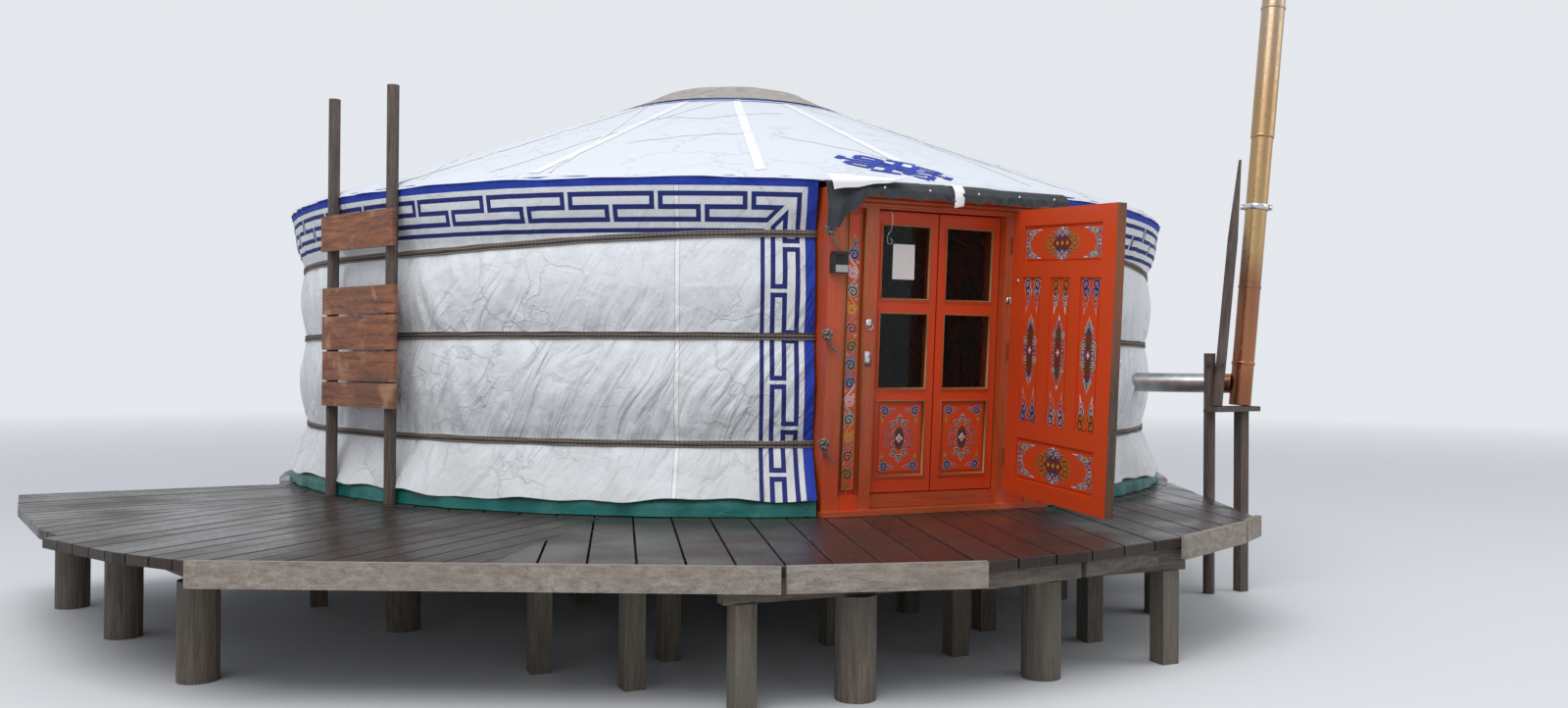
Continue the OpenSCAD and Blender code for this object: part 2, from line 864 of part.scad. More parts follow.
module flue_upright() {
    translate([flue_r * sin(flue_az), -flue_r * cos(flue_az), flue_z])
        rotate([0, flue_lean, 0])
            children();
}

module flue_branch() {
    color("#9a9b9a")
        at_az(flue_az)
            translate([0, -flue_wall_r, flue_z])
                rotate([90, 0, 0]) {
                    tube(branch_d, branch_end - flue_wall_r, flue_wall);
                    tube(branch_d + 2 * (flange_rim + seat), flange_t, flange_rim);
                }
}

tee_low = -130;
tee_high = 120;

module flue_tee() {
    color("#8a6a45")
        union() {
            flue_upright()
                translate([0, 0, tee_low])
                    difference() {
                        cylinder(d = flue_d, h = tee_high - tee_low, $fn = 48);
                        translate([0, 0, 6])
                            cylinder(d = flue_d - 2 * flue_wall, h = tee_high - tee_low, $fn = 48);
                    }
            at_az(flue_az)
                translate([0, -branch_end - seat, flue_z])
                    rotate([90, 0, 0])
                        tube(branch_d, 50, flue_wall);
        }
}

lower_joint = 580;
clamp_at = 1060;
wide_from = 1520;
wide_d = flue_d + 10;

// The upright pipe: two lengths with a bead between them, a bright clamp and a wider top length
module flue_pipe() {
    color("#a07a4a")
        flue_upright()
            translate([0, 0, tee_high + seat])
                difference() {
                    union() {
                        cylinder(d = flue_d, h = wide_from - tee_high, $fn = 48);
                        translate([0, 0, lower_joint - tee_high])
                            cylinder(d = flue_d + 8, h = 10, $fn = 48);
                        translate([0, 0, clamp_at - tee_high])
                            cylinder(d = flue_d + 10, h = 26, $fn = 48);
                        translate([0, 0, wide_from - tee_high])
                            cylinder(d = wide_d, h = flue_rise - wide_from, $fn = 48);
                    }
                    translate([0, 0, -1])
                        cylinder(d = flue_d - 2 * flue_wall, h = flue_rise, $fn = 48);
                }
}

cowl_ring = 30;
cowl_low = 130;
cowl_h = 60;
cowl_strap = [4, 20, 122];

// Rain cap on three straps
module flue_cowl() {
    color("#8f8d88")
        flue_upright()
            translate([0, 0, flue_rise + 2 * seat])
                union() {
                    tube(wide_d, cowl_ring, flue_wall);
                    for (i = [0:2])
                        rotate([0, 0, i * 120 + 30])
                            translate([wide_d / 2 - cowl_strap[0], -cowl_strap[1] / 2, cowl_ring / 3])
                                cube(cowl_strap);
                    translate([0, 0, cowl_low])
                        cylinder(d1 = 1.9 * wide_d, d2 = 0.3 * wide_d, h = cowl_h, $fn = 48);
                }
}

stand_w = 60;
stand_post_d = 66;
stand_post_h = 850;
shelf_t = 30;
shelf_half = 62;
shelf_past = 90;
prop_d = 58;
prop_h = 1480;
prop_tilt = 6.6;
prop_point = 480;
prop_tip = 16;

// Two posts and a shelf bracket under the tee, with a weathered pole that stands on the bracket
module flue_stand() {
    foot = polar(flue_r, flue_az);
    edge_from = polar(terrace_front[6][1], terrace_front[6][0]);
    edge_to = polar(inner_r + 20, terrace_end_az);
    edge = (edge_to - edge_from) / norm(edge_to - edge_from);
    side_post = mix(edge_from, edge_to, 0.56) + [edge[1], -edge[0]] * (stand_post_d / 2 + seat);
    shelf_x = side_post[0] + stand_post_d / 2 + seat;
    front = side_post[1] - stand_post_d / 2;
    shelf_z = flue_z + tee_low * cos(flue_lean) - flue_d / 2 * sin(flue_lean) - shelf_t - seat;
    shelf_top = shelf_z + shelf_t + seat;
    color("#5d5248") {
        translate([foot[0] - stand_w / 2, foot[1] - stand_w / 2, 0])
            cube([stand_w, stand_w, shelf_z - seat]);
        translate([side_post[0], side_post[1], 0])
            cylinder(d = stand_post_d, h = deck_h + stand_post_h, $fn = 32);
        translate([side_post[0], front - seat - prop_d / 2, shelf_top + prop_d / 2 * sin(prop_tilt)])
            rotate([0, prop_tilt, 0]) {
                cylinder(d = prop_d, h = prop_h - prop_point, $fn = 32);
                translate([0, 0, prop_h - prop_point])
                    cylinder(d1 = prop_d, d2 = prop_tip, h = prop_point, $fn = 32);
            }
    }
    color("#2c2a28")
        union() {
            translate([shelf_x, foot[1] - shelf_half, shelf_z])
                cube([foot[0] + shelf_past - shelf_x, 2 * shelf_half, shelf_t]);
            translate([side_post[0] - prop_d, front - seat - 1.5 * prop_d, shelf_z])
                cube([shelf_x - side_post[0] + 2 * prop_d, 1.5 * prop_d, shelf_t]);
        }
}

// Sign poles stand on the deck against the rope, and carry boards
sign_az = [-68.8, -57.8];
sign_r = eaves_r + 6 + seat + pole_d / 2;

module sign_poles() {
    color("#5e554b")
        for (a = sign_az)
            at_az(a)
                translate([0, -sign_r, deck_h + seat])
                    cylinder(d = pole_d, h = sign_pole_h, $fn = 32);
}

// Heights of the lower edge and of the top edge of each board above the deck
board_rows = [[1390, 1590], [1030, 1180], [832, 1020], [660, 822], [515, 650]];
board_shift = [25, 45, 42, 48, 45];

module sign_boards() {
    mid = (sign_az[0] + sign_az[1]) / 2;
    face = sign_r * cos((sign_az[1] - sign_az[0]) / 2) + pole_d / 2 + seat;
    color("#8a5a38")
        at_az(mid)
            for (i = [0:len(board_rows) - 1])
                translate([board_shift[i] - sign_w / 2, -face - sign_t, deck_h + board_rows[i][0]])
                    cube([sign_w, sign_t, board_rows[i][1] - board_rows[i][0]]);
}

deck_posts();
deck_joists();
floor();
terrace_panels();
edge_planks();
for (i = [1:section_count])
    lattice(i);
for (i = [1:6])
    wall_cover(i);
wall_skirt();
girth_ropes();
door_posts();
door_lintel();
door_threshold();
side_panels();
glazed_leaf_left();
glazed_leaf_right();
glass_left();
glass_right();
outer_leaf();
hinge_pins();
door_light();
awning();
crown_wheel();
crown_posts();
crown_cover();
roof_poles(true);  // roof_poles_left
roof_poles(false);  // roof_poles_right
roof_cover(0);  // roof_cover_front
roof_cover(1);  // roof_cover_right
roof_cover(2);  // roof_cover_back
roof_cover(3);  // roof_cover_left
flue_branch();
flue_tee();
flue_pipe();
flue_cowl();
flue_stand();
sign_poles();
sign_boards();
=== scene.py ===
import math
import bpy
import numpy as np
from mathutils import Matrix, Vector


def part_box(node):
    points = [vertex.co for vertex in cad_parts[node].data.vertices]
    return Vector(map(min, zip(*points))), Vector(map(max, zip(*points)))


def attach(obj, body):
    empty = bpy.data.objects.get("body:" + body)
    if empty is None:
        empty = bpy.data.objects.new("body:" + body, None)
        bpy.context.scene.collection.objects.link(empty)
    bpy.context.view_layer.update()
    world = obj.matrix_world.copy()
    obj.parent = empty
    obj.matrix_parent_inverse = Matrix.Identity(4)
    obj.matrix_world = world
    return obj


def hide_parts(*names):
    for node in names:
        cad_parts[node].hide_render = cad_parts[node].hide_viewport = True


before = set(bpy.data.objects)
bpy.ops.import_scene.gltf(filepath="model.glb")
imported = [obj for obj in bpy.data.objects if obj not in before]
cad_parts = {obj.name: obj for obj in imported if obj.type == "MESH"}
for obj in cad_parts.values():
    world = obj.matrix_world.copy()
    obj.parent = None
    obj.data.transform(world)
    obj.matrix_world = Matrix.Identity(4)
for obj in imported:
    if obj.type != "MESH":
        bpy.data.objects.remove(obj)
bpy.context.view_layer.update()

# %% [markdown]
# # A yurt on a timber deck
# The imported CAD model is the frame: it gives every size and every moving body. This script adds
# what a CAD model leaves out, which is cloth, rope, painted ornament, boards and materials. All
# lengths are metres. The origin is on the ground under the crown, +Z is up and the door faces -Y.
# An azimuth is counted from -Y, and it is positive towards +X.

random = np.random.default_rng(7)
PI = math.pi
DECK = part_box("floor")[1][2]
ROOF_SLOPE = math.tan(math.radians(21.0))
ROOF_INNER = 0.695
ROOF_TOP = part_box("roof_cover_front")[1][2]
WALL_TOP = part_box("wall_cover_1")[1][2] - DECK
# The door's plane leans inwards, and at floor level it is FRAME_Y in front of the yurt's axis
LEAN = math.radians(3.5)
FRAME_Y = 2.965
# Azimuth where the canvas ends beside the door frame
COVER_EDGE = math.asin((0.660 + 0.0003) / 2.920)
# Azimuths are turned into metres of cloth with this radius
CLOTH_RADIUS = 3.0
DEGREE = PI / 180
print("deck", round(DECK, 3), "m high, wall", round(WALL_TOP, 3), "m")
print("roof cone up to", round(ROOF_TOP, 3), "m")


def polar(radius, azimuth):
    """The plan position of a radius and an azimuth in radians."""
    return radius * np.sin(azimuth), -radius * np.cos(azimuth)


def on_door(points):
    """Moves points from the door's own plane to the yurt: x' = x, then a lean about the X axis."""
    p = np.asarray(points, float).reshape(-1, 3)
    c, s = math.cos(LEAN), math.sin(LEAN)
    return np.stack([p[:, 0], p[:, 1] * c - p[:, 2] * s - FRAME_Y, p[:, 1] * s + p[:, 2] * c + DECK], 1)

# %% [markdown]
# ## The camera
# It stands where the photographer stood. Its place and lens come from the wall's rings and the
# deck's edge in the photo.

# %% Camera
HEADING, PITCH, ROLL = math.radians(23.67), math.radians(0.38), math.radians(0.40)
CAMERA_AT, LENS = (-3.312, -8.540, 1.36), 27.97
forward = Vector(
    (math.sin(HEADING) * math.cos(PITCH), math.cos(HEADING) * math.cos(PITCH), math.sin(PITCH))
)
level = Vector((math.cos(HEADING), -math.sin(HEADING), 0))
above = level.cross(forward)
right = level * math.cos(ROLL) + above * math.sin(ROLL)
up = above * math.cos(ROLL) - level * math.sin(ROLL)
camera = bpy.data.objects.new("camera", bpy.data.cameras.new("camera"))
camera.data.sensor_width = 36
camera.data.lens = LENS
camera.data.clip_end = 200
camera.matrix_world = Matrix((
    (right.x, up.x, -forward.x, CAMERA_AT[0]),
    (right.y, up.y, -forward.y, CAMERA_AT[1]),
    (right.z, up.z, -forward.z, CAMERA_AT[2]),
    (0, 0, 0, 1),
))
bpy.context.collection.objects.link(camera)
bpy.context.scene.camera = camera
bpy.context.scene.view_settings.view_transform = "Standard"
print("camera at", [round(v, 3) for v in camera.matrix_world.translation])

# %% [markdown]
# ## Tools for meshes
# Every surface is a grid of points that a formula gives, and every object stays at the origin.

# %% Mesh tools
def grid_faces(rows, columns, ring=False):
    """Quads between neighbouring points of a grid that is counted row by row."""
    wide = columns if ring else columns - 1
    i, j = np.meshgrid(np.arange(rows - 1), np.arange(wide), indexing="ij")
    k = (j + 1) % columns
    quads = np.stack([i * columns + j, i * columns + k, (i + 1) * columns + k, (i + 1) * columns + j], -1)
    return quads.reshape(-1, 4)


def grid_uv(u, v):
    """One (u, v) pair for each point of a grid."""
    return np.stack(np.broadcast_arrays(u[:, None], v[None, :]), -1).reshape(-1, 2)


def build(name, points, faces, material, body="yurt", uv=None, slots=None, smooth=True):
    """A mesh object that rides on a CAD body. uv is one pair for each point."""
    mesh = bpy.data.meshes.new(name)
    faces = faces.tolist() if hasattr(faces, "tolist") else [list(f) for f in faces]
    mesh.from_pydata(np.asarray(points, float).reshape(-1, 3).tolist(), [], faces)
    for one in material if isinstance(material, (list, tuple)) else [material]:
        mesh.materials.append(one)
    if uv is not None:
        corner = np.empty(len(mesh.loops), np.int32)
        mesh.loops.foreach_get("vertex_index", corner)
        mesh.uv_layers.new(name="UVMap").data.foreach_set(
            "uv", np.asarray(uv, np.float32)[corner].ravel()
        )
    if slots is not None:
        mesh.polygons.foreach_set("material_index", np.asarray(slots, np.int32))
    mesh.polygons.foreach_set("use_smooth", np.full(len(mesh.polygons), smooth))
    mesh.update()
    piece = bpy.data.objects.new(name, mesh)
    bpy.context.collection.objects.link(piece)
    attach(piece, body)
    return piece


print("a grid of 3 by 4 points has", len(grid_faces(3, 4)), "faces")

# %% [markdown]
# Most pieces hold many small shapes, such as boards, cords or scrolls. A heap collects them, counts
# the numbers of their points on, and makes one mesh of them all.

# %% Heap of shapes
class Heap:
    """Collects many small shapes into one mesh, with a material slot and a UV for each."""

    def __init__(self):
        self.points, self.faces, self.slots, self.uv, self.count = [], [], [], [], 0

    def add(self, points, faces, slot=0, uv=None):
        """Adds a shape; its faces count its own points from 0."""
        points = np.asarray(points, float).reshape(-1, 3)
        self.points.append(points)
        self.uv.append(np.zeros((len(points), 2)) if uv is None else np.asarray(uv, float))
        self.faces += [[int(v) + self.count for v in f] for f in faces]
        self.slots += [slot] * len(faces)
        self.count += len(points)

    def build(self, name, material, body="yurt", smooth=True, place=None):
        """One mesh of the whole heap, moved by the function place."""
        points = np.concatenate(self.points)
        if place is not None:
            points = place(points)
        return build(
            name, points, self.faces, material, body, np.concatenate(self.uv), self.slots, smooth
        )


print("an empty heap holds", Heap().count, "points")

# %% [markdown]
# A cord or a wire is a circle that is carried along a path. At each point it stands square to the
# path's direction, which numpy's gradient gives.

# %% Tube
def tube(path, radius, sides=8, up=(0, 0, 1)):
    """A round tube along a path: p(t) + r (cos q n + sin q b). It gives points, faces and uv."""
    path = np.asarray(path, float)
    step = np.gradient(path, axis=0)
    step /= np.linalg.norm(step, axis=1, keepdims=True)
    side = np.cross(step, np.asarray(up, float))
    side /= np.maximum(np.linalg.norm(side, axis=1, keepdims=True), 1e-9)
    top = np.cross(side, step)
    angle = np.linspace(0, 2 * PI, sides, endpoint=False)
    radius = np.broadcast_to(np.asarray(radius, float), (len(path),))[:, None, None]
    ring = path[:, None] + radius * (np.cos(angle)[None, :, None] * side[:, None]
                                     + np.sin(angle)[None, :, None] * top[:, None])
    faces = [f[::-1] for f in grid_faces(len(path), sides, ring=True).tolist()]
    last = (len(path) - 1) * sides
    faces += [list(range(sides)), [last + k for k in range(sides)][::-1]]
    length = np.concatenate([[0], np.cumsum(np.linalg.norm(np.diff(path, axis=0), axis=1))])
    uv = np.stack([np.repeat(length, sides), np.tile(angle / (2 * PI), len(path))], 1)
    return ring.reshape(-1, 3), faces, uv


print("a tube along 5 points has", len(tube(np.linspace((0, 0, 0), (1, 0, 0), 5), 0.1)[1]), "faces")

# %% [markdown]
# ## Tools for shader nodes
# A node group takes a vector or a value and gives a colour, mask or value. Constants are set on
# the shader's own sockets.

# %% Shader tools
def feed(tree, socket, value):
    """Links a node's output to a socket, or sets the socket to a constant."""
    if isinstance(value, bpy.types.NodeSocket):
        tree.links.new(value, socket)
    else:
        socket.default_value = value


def calc(tree, operation, *values):
    """A Math node: sockets or numbers go in, and one socket comes out."""
    node = tree.nodes.new("ShaderNodeMath")
    node.operation = operation
    for socket, value in zip(node.inputs, values):
        feed(tree, socket, value)
    return node.outputs[0]


def vector_calc(tree, operation, *values):
    """A Vector Math node. It gives all of the node's outputs."""
    node = tree.nodes.new("ShaderNodeVectorMath")
    node.operation = operation
    for socket, value in zip(node.inputs, values):
        feed(tree, socket, value)
    return node.outputs


def separate(tree, vector):
    """Splits a vector into its three parts."""
    node = tree.nodes.new("ShaderNodeSeparateXYZ")
    tree.links.new(vector, node.inputs[0])
    return node.outputs


def blend(tree, factor, first, second, mode="MIX"):
    """Mixes two colours: first where the factor is 0, second where it is 1."""
    node = tree.nodes.new("ShaderNodeMix")
    node.data_type = "RGBA"
    node.blend_type = mode
    feed(tree, node.inputs[0], factor)
    feed(tree, node.inputs[6], first)
    feed(tree, node.inputs[7], second)
    return node.outputs[2]


def spread(tree, value, low, high, out_low=0.0, out_high=1.0):
    """Maps low..high to out_low..out_high, and stays inside."""
    node = tree.nodes.new("ShaderNodeMapRange")
    for index, number in enumerate((value, low, high, out_low, out_high)):
        feed(tree, node.inputs[index], number)
    return node.outputs[0]


def noise(tree, vector, scale, detail=4.0, distortion=0.0):
    """A Noise Texture's value, from 0 to 1."""
    node = tree.nodes.new("ShaderNodeTexNoise")
    feed(tree, node.inputs["Vector"], vector)
    feed(tree, node.inputs["Scale"], scale)
    node.inputs["Detail"].default_value = detail
    node.inputs["Distortion"].default_value = distortion
    return node.outputs[0]


print("shader tools: feed, calc, vector_calc, separate, blend, spread, noise")

# %% [markdown]
# A node group holds an effect that several materials share. Its sockets are declared first, and
# each material sets its own values on them.

# %% Groups, materials and relief
def group(name, inputs, outputs):
    """An empty node group with its sockets, its input node and its output node."""
    tree = bpy.data.node_groups.new(name, "ShaderNodeTree")
    for label, kind, value in inputs:
        socket = tree.interface.new_socket(label, in_out="INPUT", socket_type=kind)
        if value is not None:
            socket.default_value = value
    for label, kind in outputs:
        tree.interface.new_socket(label, in_out="OUTPUT", socket_type=kind)
    return tree, tree.nodes.new("NodeGroupInput"), tree.nodes.new("NodeGroupOutput")


def use(tree, shared, **values):
    """Places a node group in a tree and sets its inputs by name."""
    node = tree.nodes.new("ShaderNodeGroup")
    node.node_tree = shared
    for label, value in values.items():
        feed(tree, node.inputs[label.replace("_", " ")], value)
    return node.outputs


FLOAT, VECTOR, COLOR = "NodeSocketFloat", "NodeSocketVector", "NodeSocketColor"


def rgb(*values):
    """A colour with its alpha."""
    return (*values, 1.0)


def surface(name, roughness=0.6, metallic=0.0, **fixed):
    """A new material. It gives the material, its tree, its shader and its own coordinates."""
    material = bpy.data.materials.new(name)
    material.use_nodes = True
    tree = material.node_tree
    shader = tree.nodes["Principled BSDF"]
    shader.inputs["Roughness"].default_value = roughness
    shader.inputs["Metallic"].default_value = metallic
    for label, value in fixed.items():
        shader.inputs[label.replace("_", " ")].default_value = value
    place = tree.nodes.new("ShaderNodeTexCoord").outputs
    return material, tree, shader, place


def relief(tree, shader, height, distance):
    """Height, in shares of a distance in metres, as a bump on the shader."""
    node = tree.nodes.new("ShaderNodeBump")
    node.inputs["Distance"].default_value = distance
    feed(tree, node.inputs["Height"], height)
    tree.links.new(node.outputs[0], shader.inputs["Normal"])


print("material tools: group, use, rgb, surface, relief")

# %% [markdown]
# ## Shared node groups
# Timber grain, worn paint, creased cloth, and the hammer meander of the wall's blue border.

# %% Timber grain
grain_group, g_in, g_out = group(
    "Timber grain",
    [("Vector", VECTOR, None), ("Stretch", VECTOR, (1, 1, 1)), ("Scale", FLOAT, 8.0)],
    [("Grain", FLOAT), ("Stain", FLOAT)],
)
scaled = vector_calc(grain_group, "MULTIPLY", g_in.outputs["Vector"], g_in.outputs["Stretch"])[0]
coarse = noise(grain_group, scaled, g_in.outputs["Scale"], 5.0, 0.5)
fine = noise(grain_group, scaled, calc(grain_group, "MULTIPLY", g_in.outputs["Scale"], 5.0), 3.0)
both = calc(grain_group, "MULTIPLY_ADD", fine, 0.4, calc(grain_group, "MULTIPLY", coarse, 0.6))
feed(grain_group, g_out.inputs["Grain"], spread(grain_group, both, 0.33, 0.67))
stain = noise(grain_group, g_in.outputs["Vector"], 1.7, 3.0)
feed(grain_group, g_out.inputs["Stain"], spread(grain_group, stain, 0.35, 0.68))


def timber(
    name, light, dark, stretch, scale=8.0, roughness=0.7, depth=0.0015, stained=None, shine=0.0,
    uv=False
):
    """Grain that runs along the axis with the smallest stretch, between two tones of wood."""
    material, tree, shader, place = surface(name, roughness, Coat_Weight=shine, Coat_Roughness=0.25)
    out = use(tree, grain_group, Vector=place["UV" if uv else "Object"], Stretch=stretch, Scale=scale)
    colour = blend(tree, out["Grain"], dark, light)
    if stained is not None:
        colour = blend(tree, calc(tree, "MULTIPLY", out["Stain"], 0.7), colour, stained)
    feed(tree, shader.inputs["Base Color"], colour)
    relief(tree, shader, out["Grain"], depth)
    return material


print("grain group:", len(grain_group.nodes), "nodes")

# %% [markdown]
# Paint on outdoor wood fades and chips. Two noises do this: a slow one changes the paint's shade,
# and the high values of a fine one show the wood under it.

# %% Worn paint
paint_group, g_in, g_out = group(
    "Worn paint",
    [
        ("Vector", VECTOR, None), ("Paint", COLOR, rgb(0.6, 0.05, 0.01)),
        ("Under", COLOR, rgb(0.3, 0.08, 0.02))
    ],
    [("Color", COLOR), ("Height", FLOAT), ("Roughness", FLOAT)],
)
cloudy = noise(paint_group, g_in.outputs["Vector"], 2.2, 3.0)
brush = noise(paint_group, g_in.outputs["Vector"], 60.0, 2.0)
chips = spread(paint_group, noise(paint_group, g_in.outputs["Vector"], 17.0, 8.0), 0.70, 0.74)
tone = blend(
    paint_group, spread(paint_group, cloudy, 0.3, 0.75, 0.0, 0.35), g_in.outputs["Paint"],
    g_in.outputs["Under"]
)
feed(paint_group, g_out.inputs["Color"], blend(paint_group, chips, tone, g_in.outputs["Under"]))
feed(
    paint_group, g_out.inputs["Height"],
    calc(paint_group, "SUBTRACT", calc(paint_group, "MULTIPLY", brush, 0.3), chips)
)
feed(paint_group, g_out.inputs["Roughness"], spread(paint_group, cloudy, 0.3, 0.8, 0.28, 0.5))


def painted(name, paint, under, depth=0.0004):
    """Worn paint with these two colours."""
    material, tree, shader, place = surface(name)
    out = use(tree, paint_group, Vector=place["Object"], Paint=paint, Under=under)
    feed(tree, shader.inputs["Base Color"], out["Color"])
    feed(tree, shader.inputs["Roughness"], out["Roughness"])
    relief(tree, shader, out["Height"], depth)
    return material


print("worn paint group:", len(paint_group.nodes), "nodes")

# %% [markdown]
# Creases in stretched cloth meet in a net of thin lines. A Voronoi texture's distance to the edge
# gives such a net. Its coordinates are bent by a noise first, and a second noise keeps only patches
# of it, because a whole net would look like cracked paint.

# %% Creased cloth
crease_group, g_in, g_out = group(
    "Creased cloth",
    [("Vector", VECTOR, None), ("Size", FLOAT, 5.0)],
    [("Height", FLOAT), ("Shade", FLOAT)],
)
bent = crease_group.nodes.new("ShaderNodeTexNoise")
feed(crease_group, bent.inputs["Vector"], g_in.outputs["Vector"])
bent.inputs["Scale"].default_value = 6.0
bent.inputs["Detail"].default_value = 6.0
BEND = (0.30, 0.30, 0.30)
moved = vector_calc(crease_group, "MULTIPLY_ADD", bent.outputs["Color"], BEND, g_in.outputs["Vector"])[0]
cells = crease_group.nodes.new("ShaderNodeTexVoronoi")
cells.feature = "DISTANCE_TO_EDGE"
feed(crease_group, cells.inputs["Vector"], moved)
feed(crease_group, cells.inputs["Scale"], g_in.outputs["Size"])
fold = spread(crease_group, cells.outputs["Distance"], 0.0, 0.035)
patchy = spread(crease_group, noise(crease_group, g_in.outputs["Vector"], 1.3, 3.0), 0.44, 0.56)
fold = calc(crease_group, "MAXIMUM", fold, calc(crease_group, "SUBTRACT", 1.0, patchy))
rumple = noise(crease_group, moved, 9.0, 5.0)
cotton = noise(crease_group, g_in.outputs["Vector"], 420.0, 2.0)
height = calc(crease_group, "MULTIPLY_ADD", rumple, 1.6, calc(crease_group, "MULTIPLY", fold, 0.35))
feed(crease_group, g_out.inputs["Height"], calc(crease_group, "MULTIPLY_ADD", cotton, 0.12, height))
feed(crease_group, g_out.inputs["Shade"], spread(crease_group, fold, 0.0, 1.0, 0.85, 1.0))
print("node groups:", [shared.name for shared in bpy.data.node_groups])

# %% [markdown]
# The border is a chain of hammer shapes between three rows. Let P be the period, g the gap of a
# neck, and s the distance along the wall from the nearest neck's centre, from 0 to P / 2. The line
# follows the top row where s > g / 2, the middle row from g / 2 to (P - g) / 2, and the bottom row
# where s < (P - g) / 2. Short uprights join the rows at s = g / 2 and at s = (P - g) / 2. At the
# corner beside the door, the pattern is mirrored about the diagonal.

# %% Hammer meander
PERIOD, NECK, LINE = 0.465, 0.0435, 0.0245
ROW_TOP, ROW_MID, ROW_LOW = 0.092, 0.157, 0.218
EDGE_STRIPE, INNER_LINE, INNER_HALF, FIRST_NECK = 0.052, 0.271, 0.011, 0.3415
meander, g_in, g_out = group(
    "Hammer meander", [("Side", FLOAT, 0.0), ("Down", FLOAT, 0.0)],
    [("Line", FLOAT), ("Stripe", FLOAT)]
)
side_way, down_way = g_in.outputs["Side"], g_in.outputs["Down"]
along = calc(meander, "MAXIMUM", side_way, down_way)
across = calc(meander, "MINIMUM", side_way, down_way)
from_neck = calc(meander, "PINGPONG", calc(meander, "SUBTRACT", along, FIRST_NECK), PERIOD / 2)


def between(value, low, high):
    """1 where low < value < high."""
    return calc(meander, "COMPARE", value, (low + high) / 2, (high - low) / 2)


def block(low_s, high_s, low_row, high_row):
    """A bar: 1 within these distances from the neck and from the edge."""
    return calc(
        meander, "MULTIPLY", between(from_neck, low_s, high_s),
        between(across, low_row, high_row)
    )


def union(*masks):
    """Where any of the masks is 1: their maximum."""
    whole = masks[0]
    for mask in masks[1:]:
        whole = calc(meander, "MAXIMUM", whole, mask)
    return whole


half_neck, half_bar, half_line = NECK / 2, (PERIOD - NECK) / 2, LINE / 2
MITRE = NECK * 0.7
beyond = calc(meander, "SUBTRACT", along, across)
beyond_mitre = calc(meander, "GREATER_THAN", beyond, MITRE - half_line)
on_mitre = calc(
    meander, "MULTIPLY", between(beyond, MITRE - half_line, MITRE + half_line * 1.4),
    between(across, ROW_MID - half_line, ROW_LOW + half_line)
)
outer = union(
    block(half_neck - half_line, PERIOD, ROW_TOP - half_line, ROW_TOP + half_line),
    block(half_neck - half_line, half_neck + half_line, ROW_TOP, ROW_MID),
)
inner = union(
    block(half_neck - half_line, half_bar + half_line, ROW_MID - half_line, ROW_MID + half_line),
    block(half_bar - half_line, half_bar + half_line, ROW_MID, ROW_LOW),
    block(-1.0, half_bar + half_line, ROW_LOW - half_line, ROW_LOW + half_line),
)
mask = union(
    outer, calc(meander, "MULTIPLY", inner, beyond_mitre), on_mitre,
    between(across, INNER_LINE - INNER_HALF, INNER_LINE + INNER_HALF)
)
feed(meander, g_out.inputs["Line"], mask)
feed(meander, g_out.inputs["Stripe"], calc(meander, "LESS_THAN", across, EDGE_STRIPE))
print("the border is", round(INNER_LINE + INNER_HALF, 3), "m wide and repeats every", PERIOD, "m")

# %% [markdown]
# ## Materials
# Every node of the CAD model gets a material of its own kind, by name. The meshes stay as they are.
# A real deck like this one is larch or pine that has gone grey. The door and its side panels are
# painted orange, and the sign poles are peeled trunks.

# %% Timber and paint
UPRIGHT, ALONG_X, ALONG_U = (9.0, 9.0, 0.6), (0.6, 9.0, 9.0), (0.7, 9.0, 1.0)
ORANGE, ORANGE_DARK = rgb(0.68, 0.068, 0.012), rgb(0.46, 0.042, 0.010)
VARNISH, VARNISH_DARK = rgb(0.50, 0.115, 0.026), rgb(0.28, 0.052, 0.012)
WHITE, BLUE, NAVY = rgb(0.76, 0.78, 0.80), rgb(0.014, 0.045, 0.38), rgb(0.012, 0.022, 0.16)

weathered_post = timber(
    "weathered_post", rgb(0.24, 0.19, 0.15), rgb(0.07, 0.05, 0.038), UPRIGHT, 6.0, 0.85, 0.006,
    rgb(0.13, 0.13, 0.10)
)
weathered_beam = timber(
    "weathered_beam", rgb(0.18, 0.15, 0.12), rgb(0.06, 0.045, 0.035), ALONG_X, 6.0, 0.85, 0.003
)
grey_plank = timber(
    "grey_plank", rgb(0.40, 0.36, 0.31), rgb(0.16, 0.13, 0.105), ALONG_X, 5.0, 0.8, 0.003,
    rgb(0.22, 0.17, 0.13)
)
lath_wood = timber("lath_wood", rgb(0.52, 0.16, 0.03), rgb(0.30, 0.07, 0.015), UPRIGHT, 5.0, 0.5)
pole_wood = timber("pole_wood", rgb(0.60, 0.14, 0.02), rgb(0.40, 0.07, 0.012), UPRIGHT, 5.0, 0.5)
frame_wood = timber("frame_wood", VARNISH, VARNISH_DARK, UPRIGHT, 7.0, 0.42, 0.0008, ORANGE, 0.3)
rail_wood = timber("rail_wood", VARNISH, VARNISH_DARK, ALONG_X, 7.0, 0.42, 0.0008, ORANGE, 0.3)
bead_wood = timber(
    "bead_wood", rgb(0.42, 0.19, 0.055), rgb(0.24, 0.09, 0.025), UPRIGHT, 9.0, 0.45, 0.0006
)
sign_wood, tree, shader, place = surface("sign_wood", 0.6)
out = use(tree, grain_group, Vector=place["Object"], Stretch=(1.4, 1.4, 11.0), Scale=3.4)
colour = blend(tree, out["Grain"], rgb(0.10, 0.032, 0.018), rgb(0.42, 0.150, 0.065))
colour = blend(tree, calc(tree, "MULTIPLY", out["Stain"], 0.55), colour, rgb(0.10, 0.060, 0.046))
worn = noise(tree, place["Object"], 5.5, 8.0, 0.4)
colour = blend(tree, spread(tree, worn, 0.57, 0.68, 0.0, 0.7), colour, rgb(0.50, 0.27, 0.14))
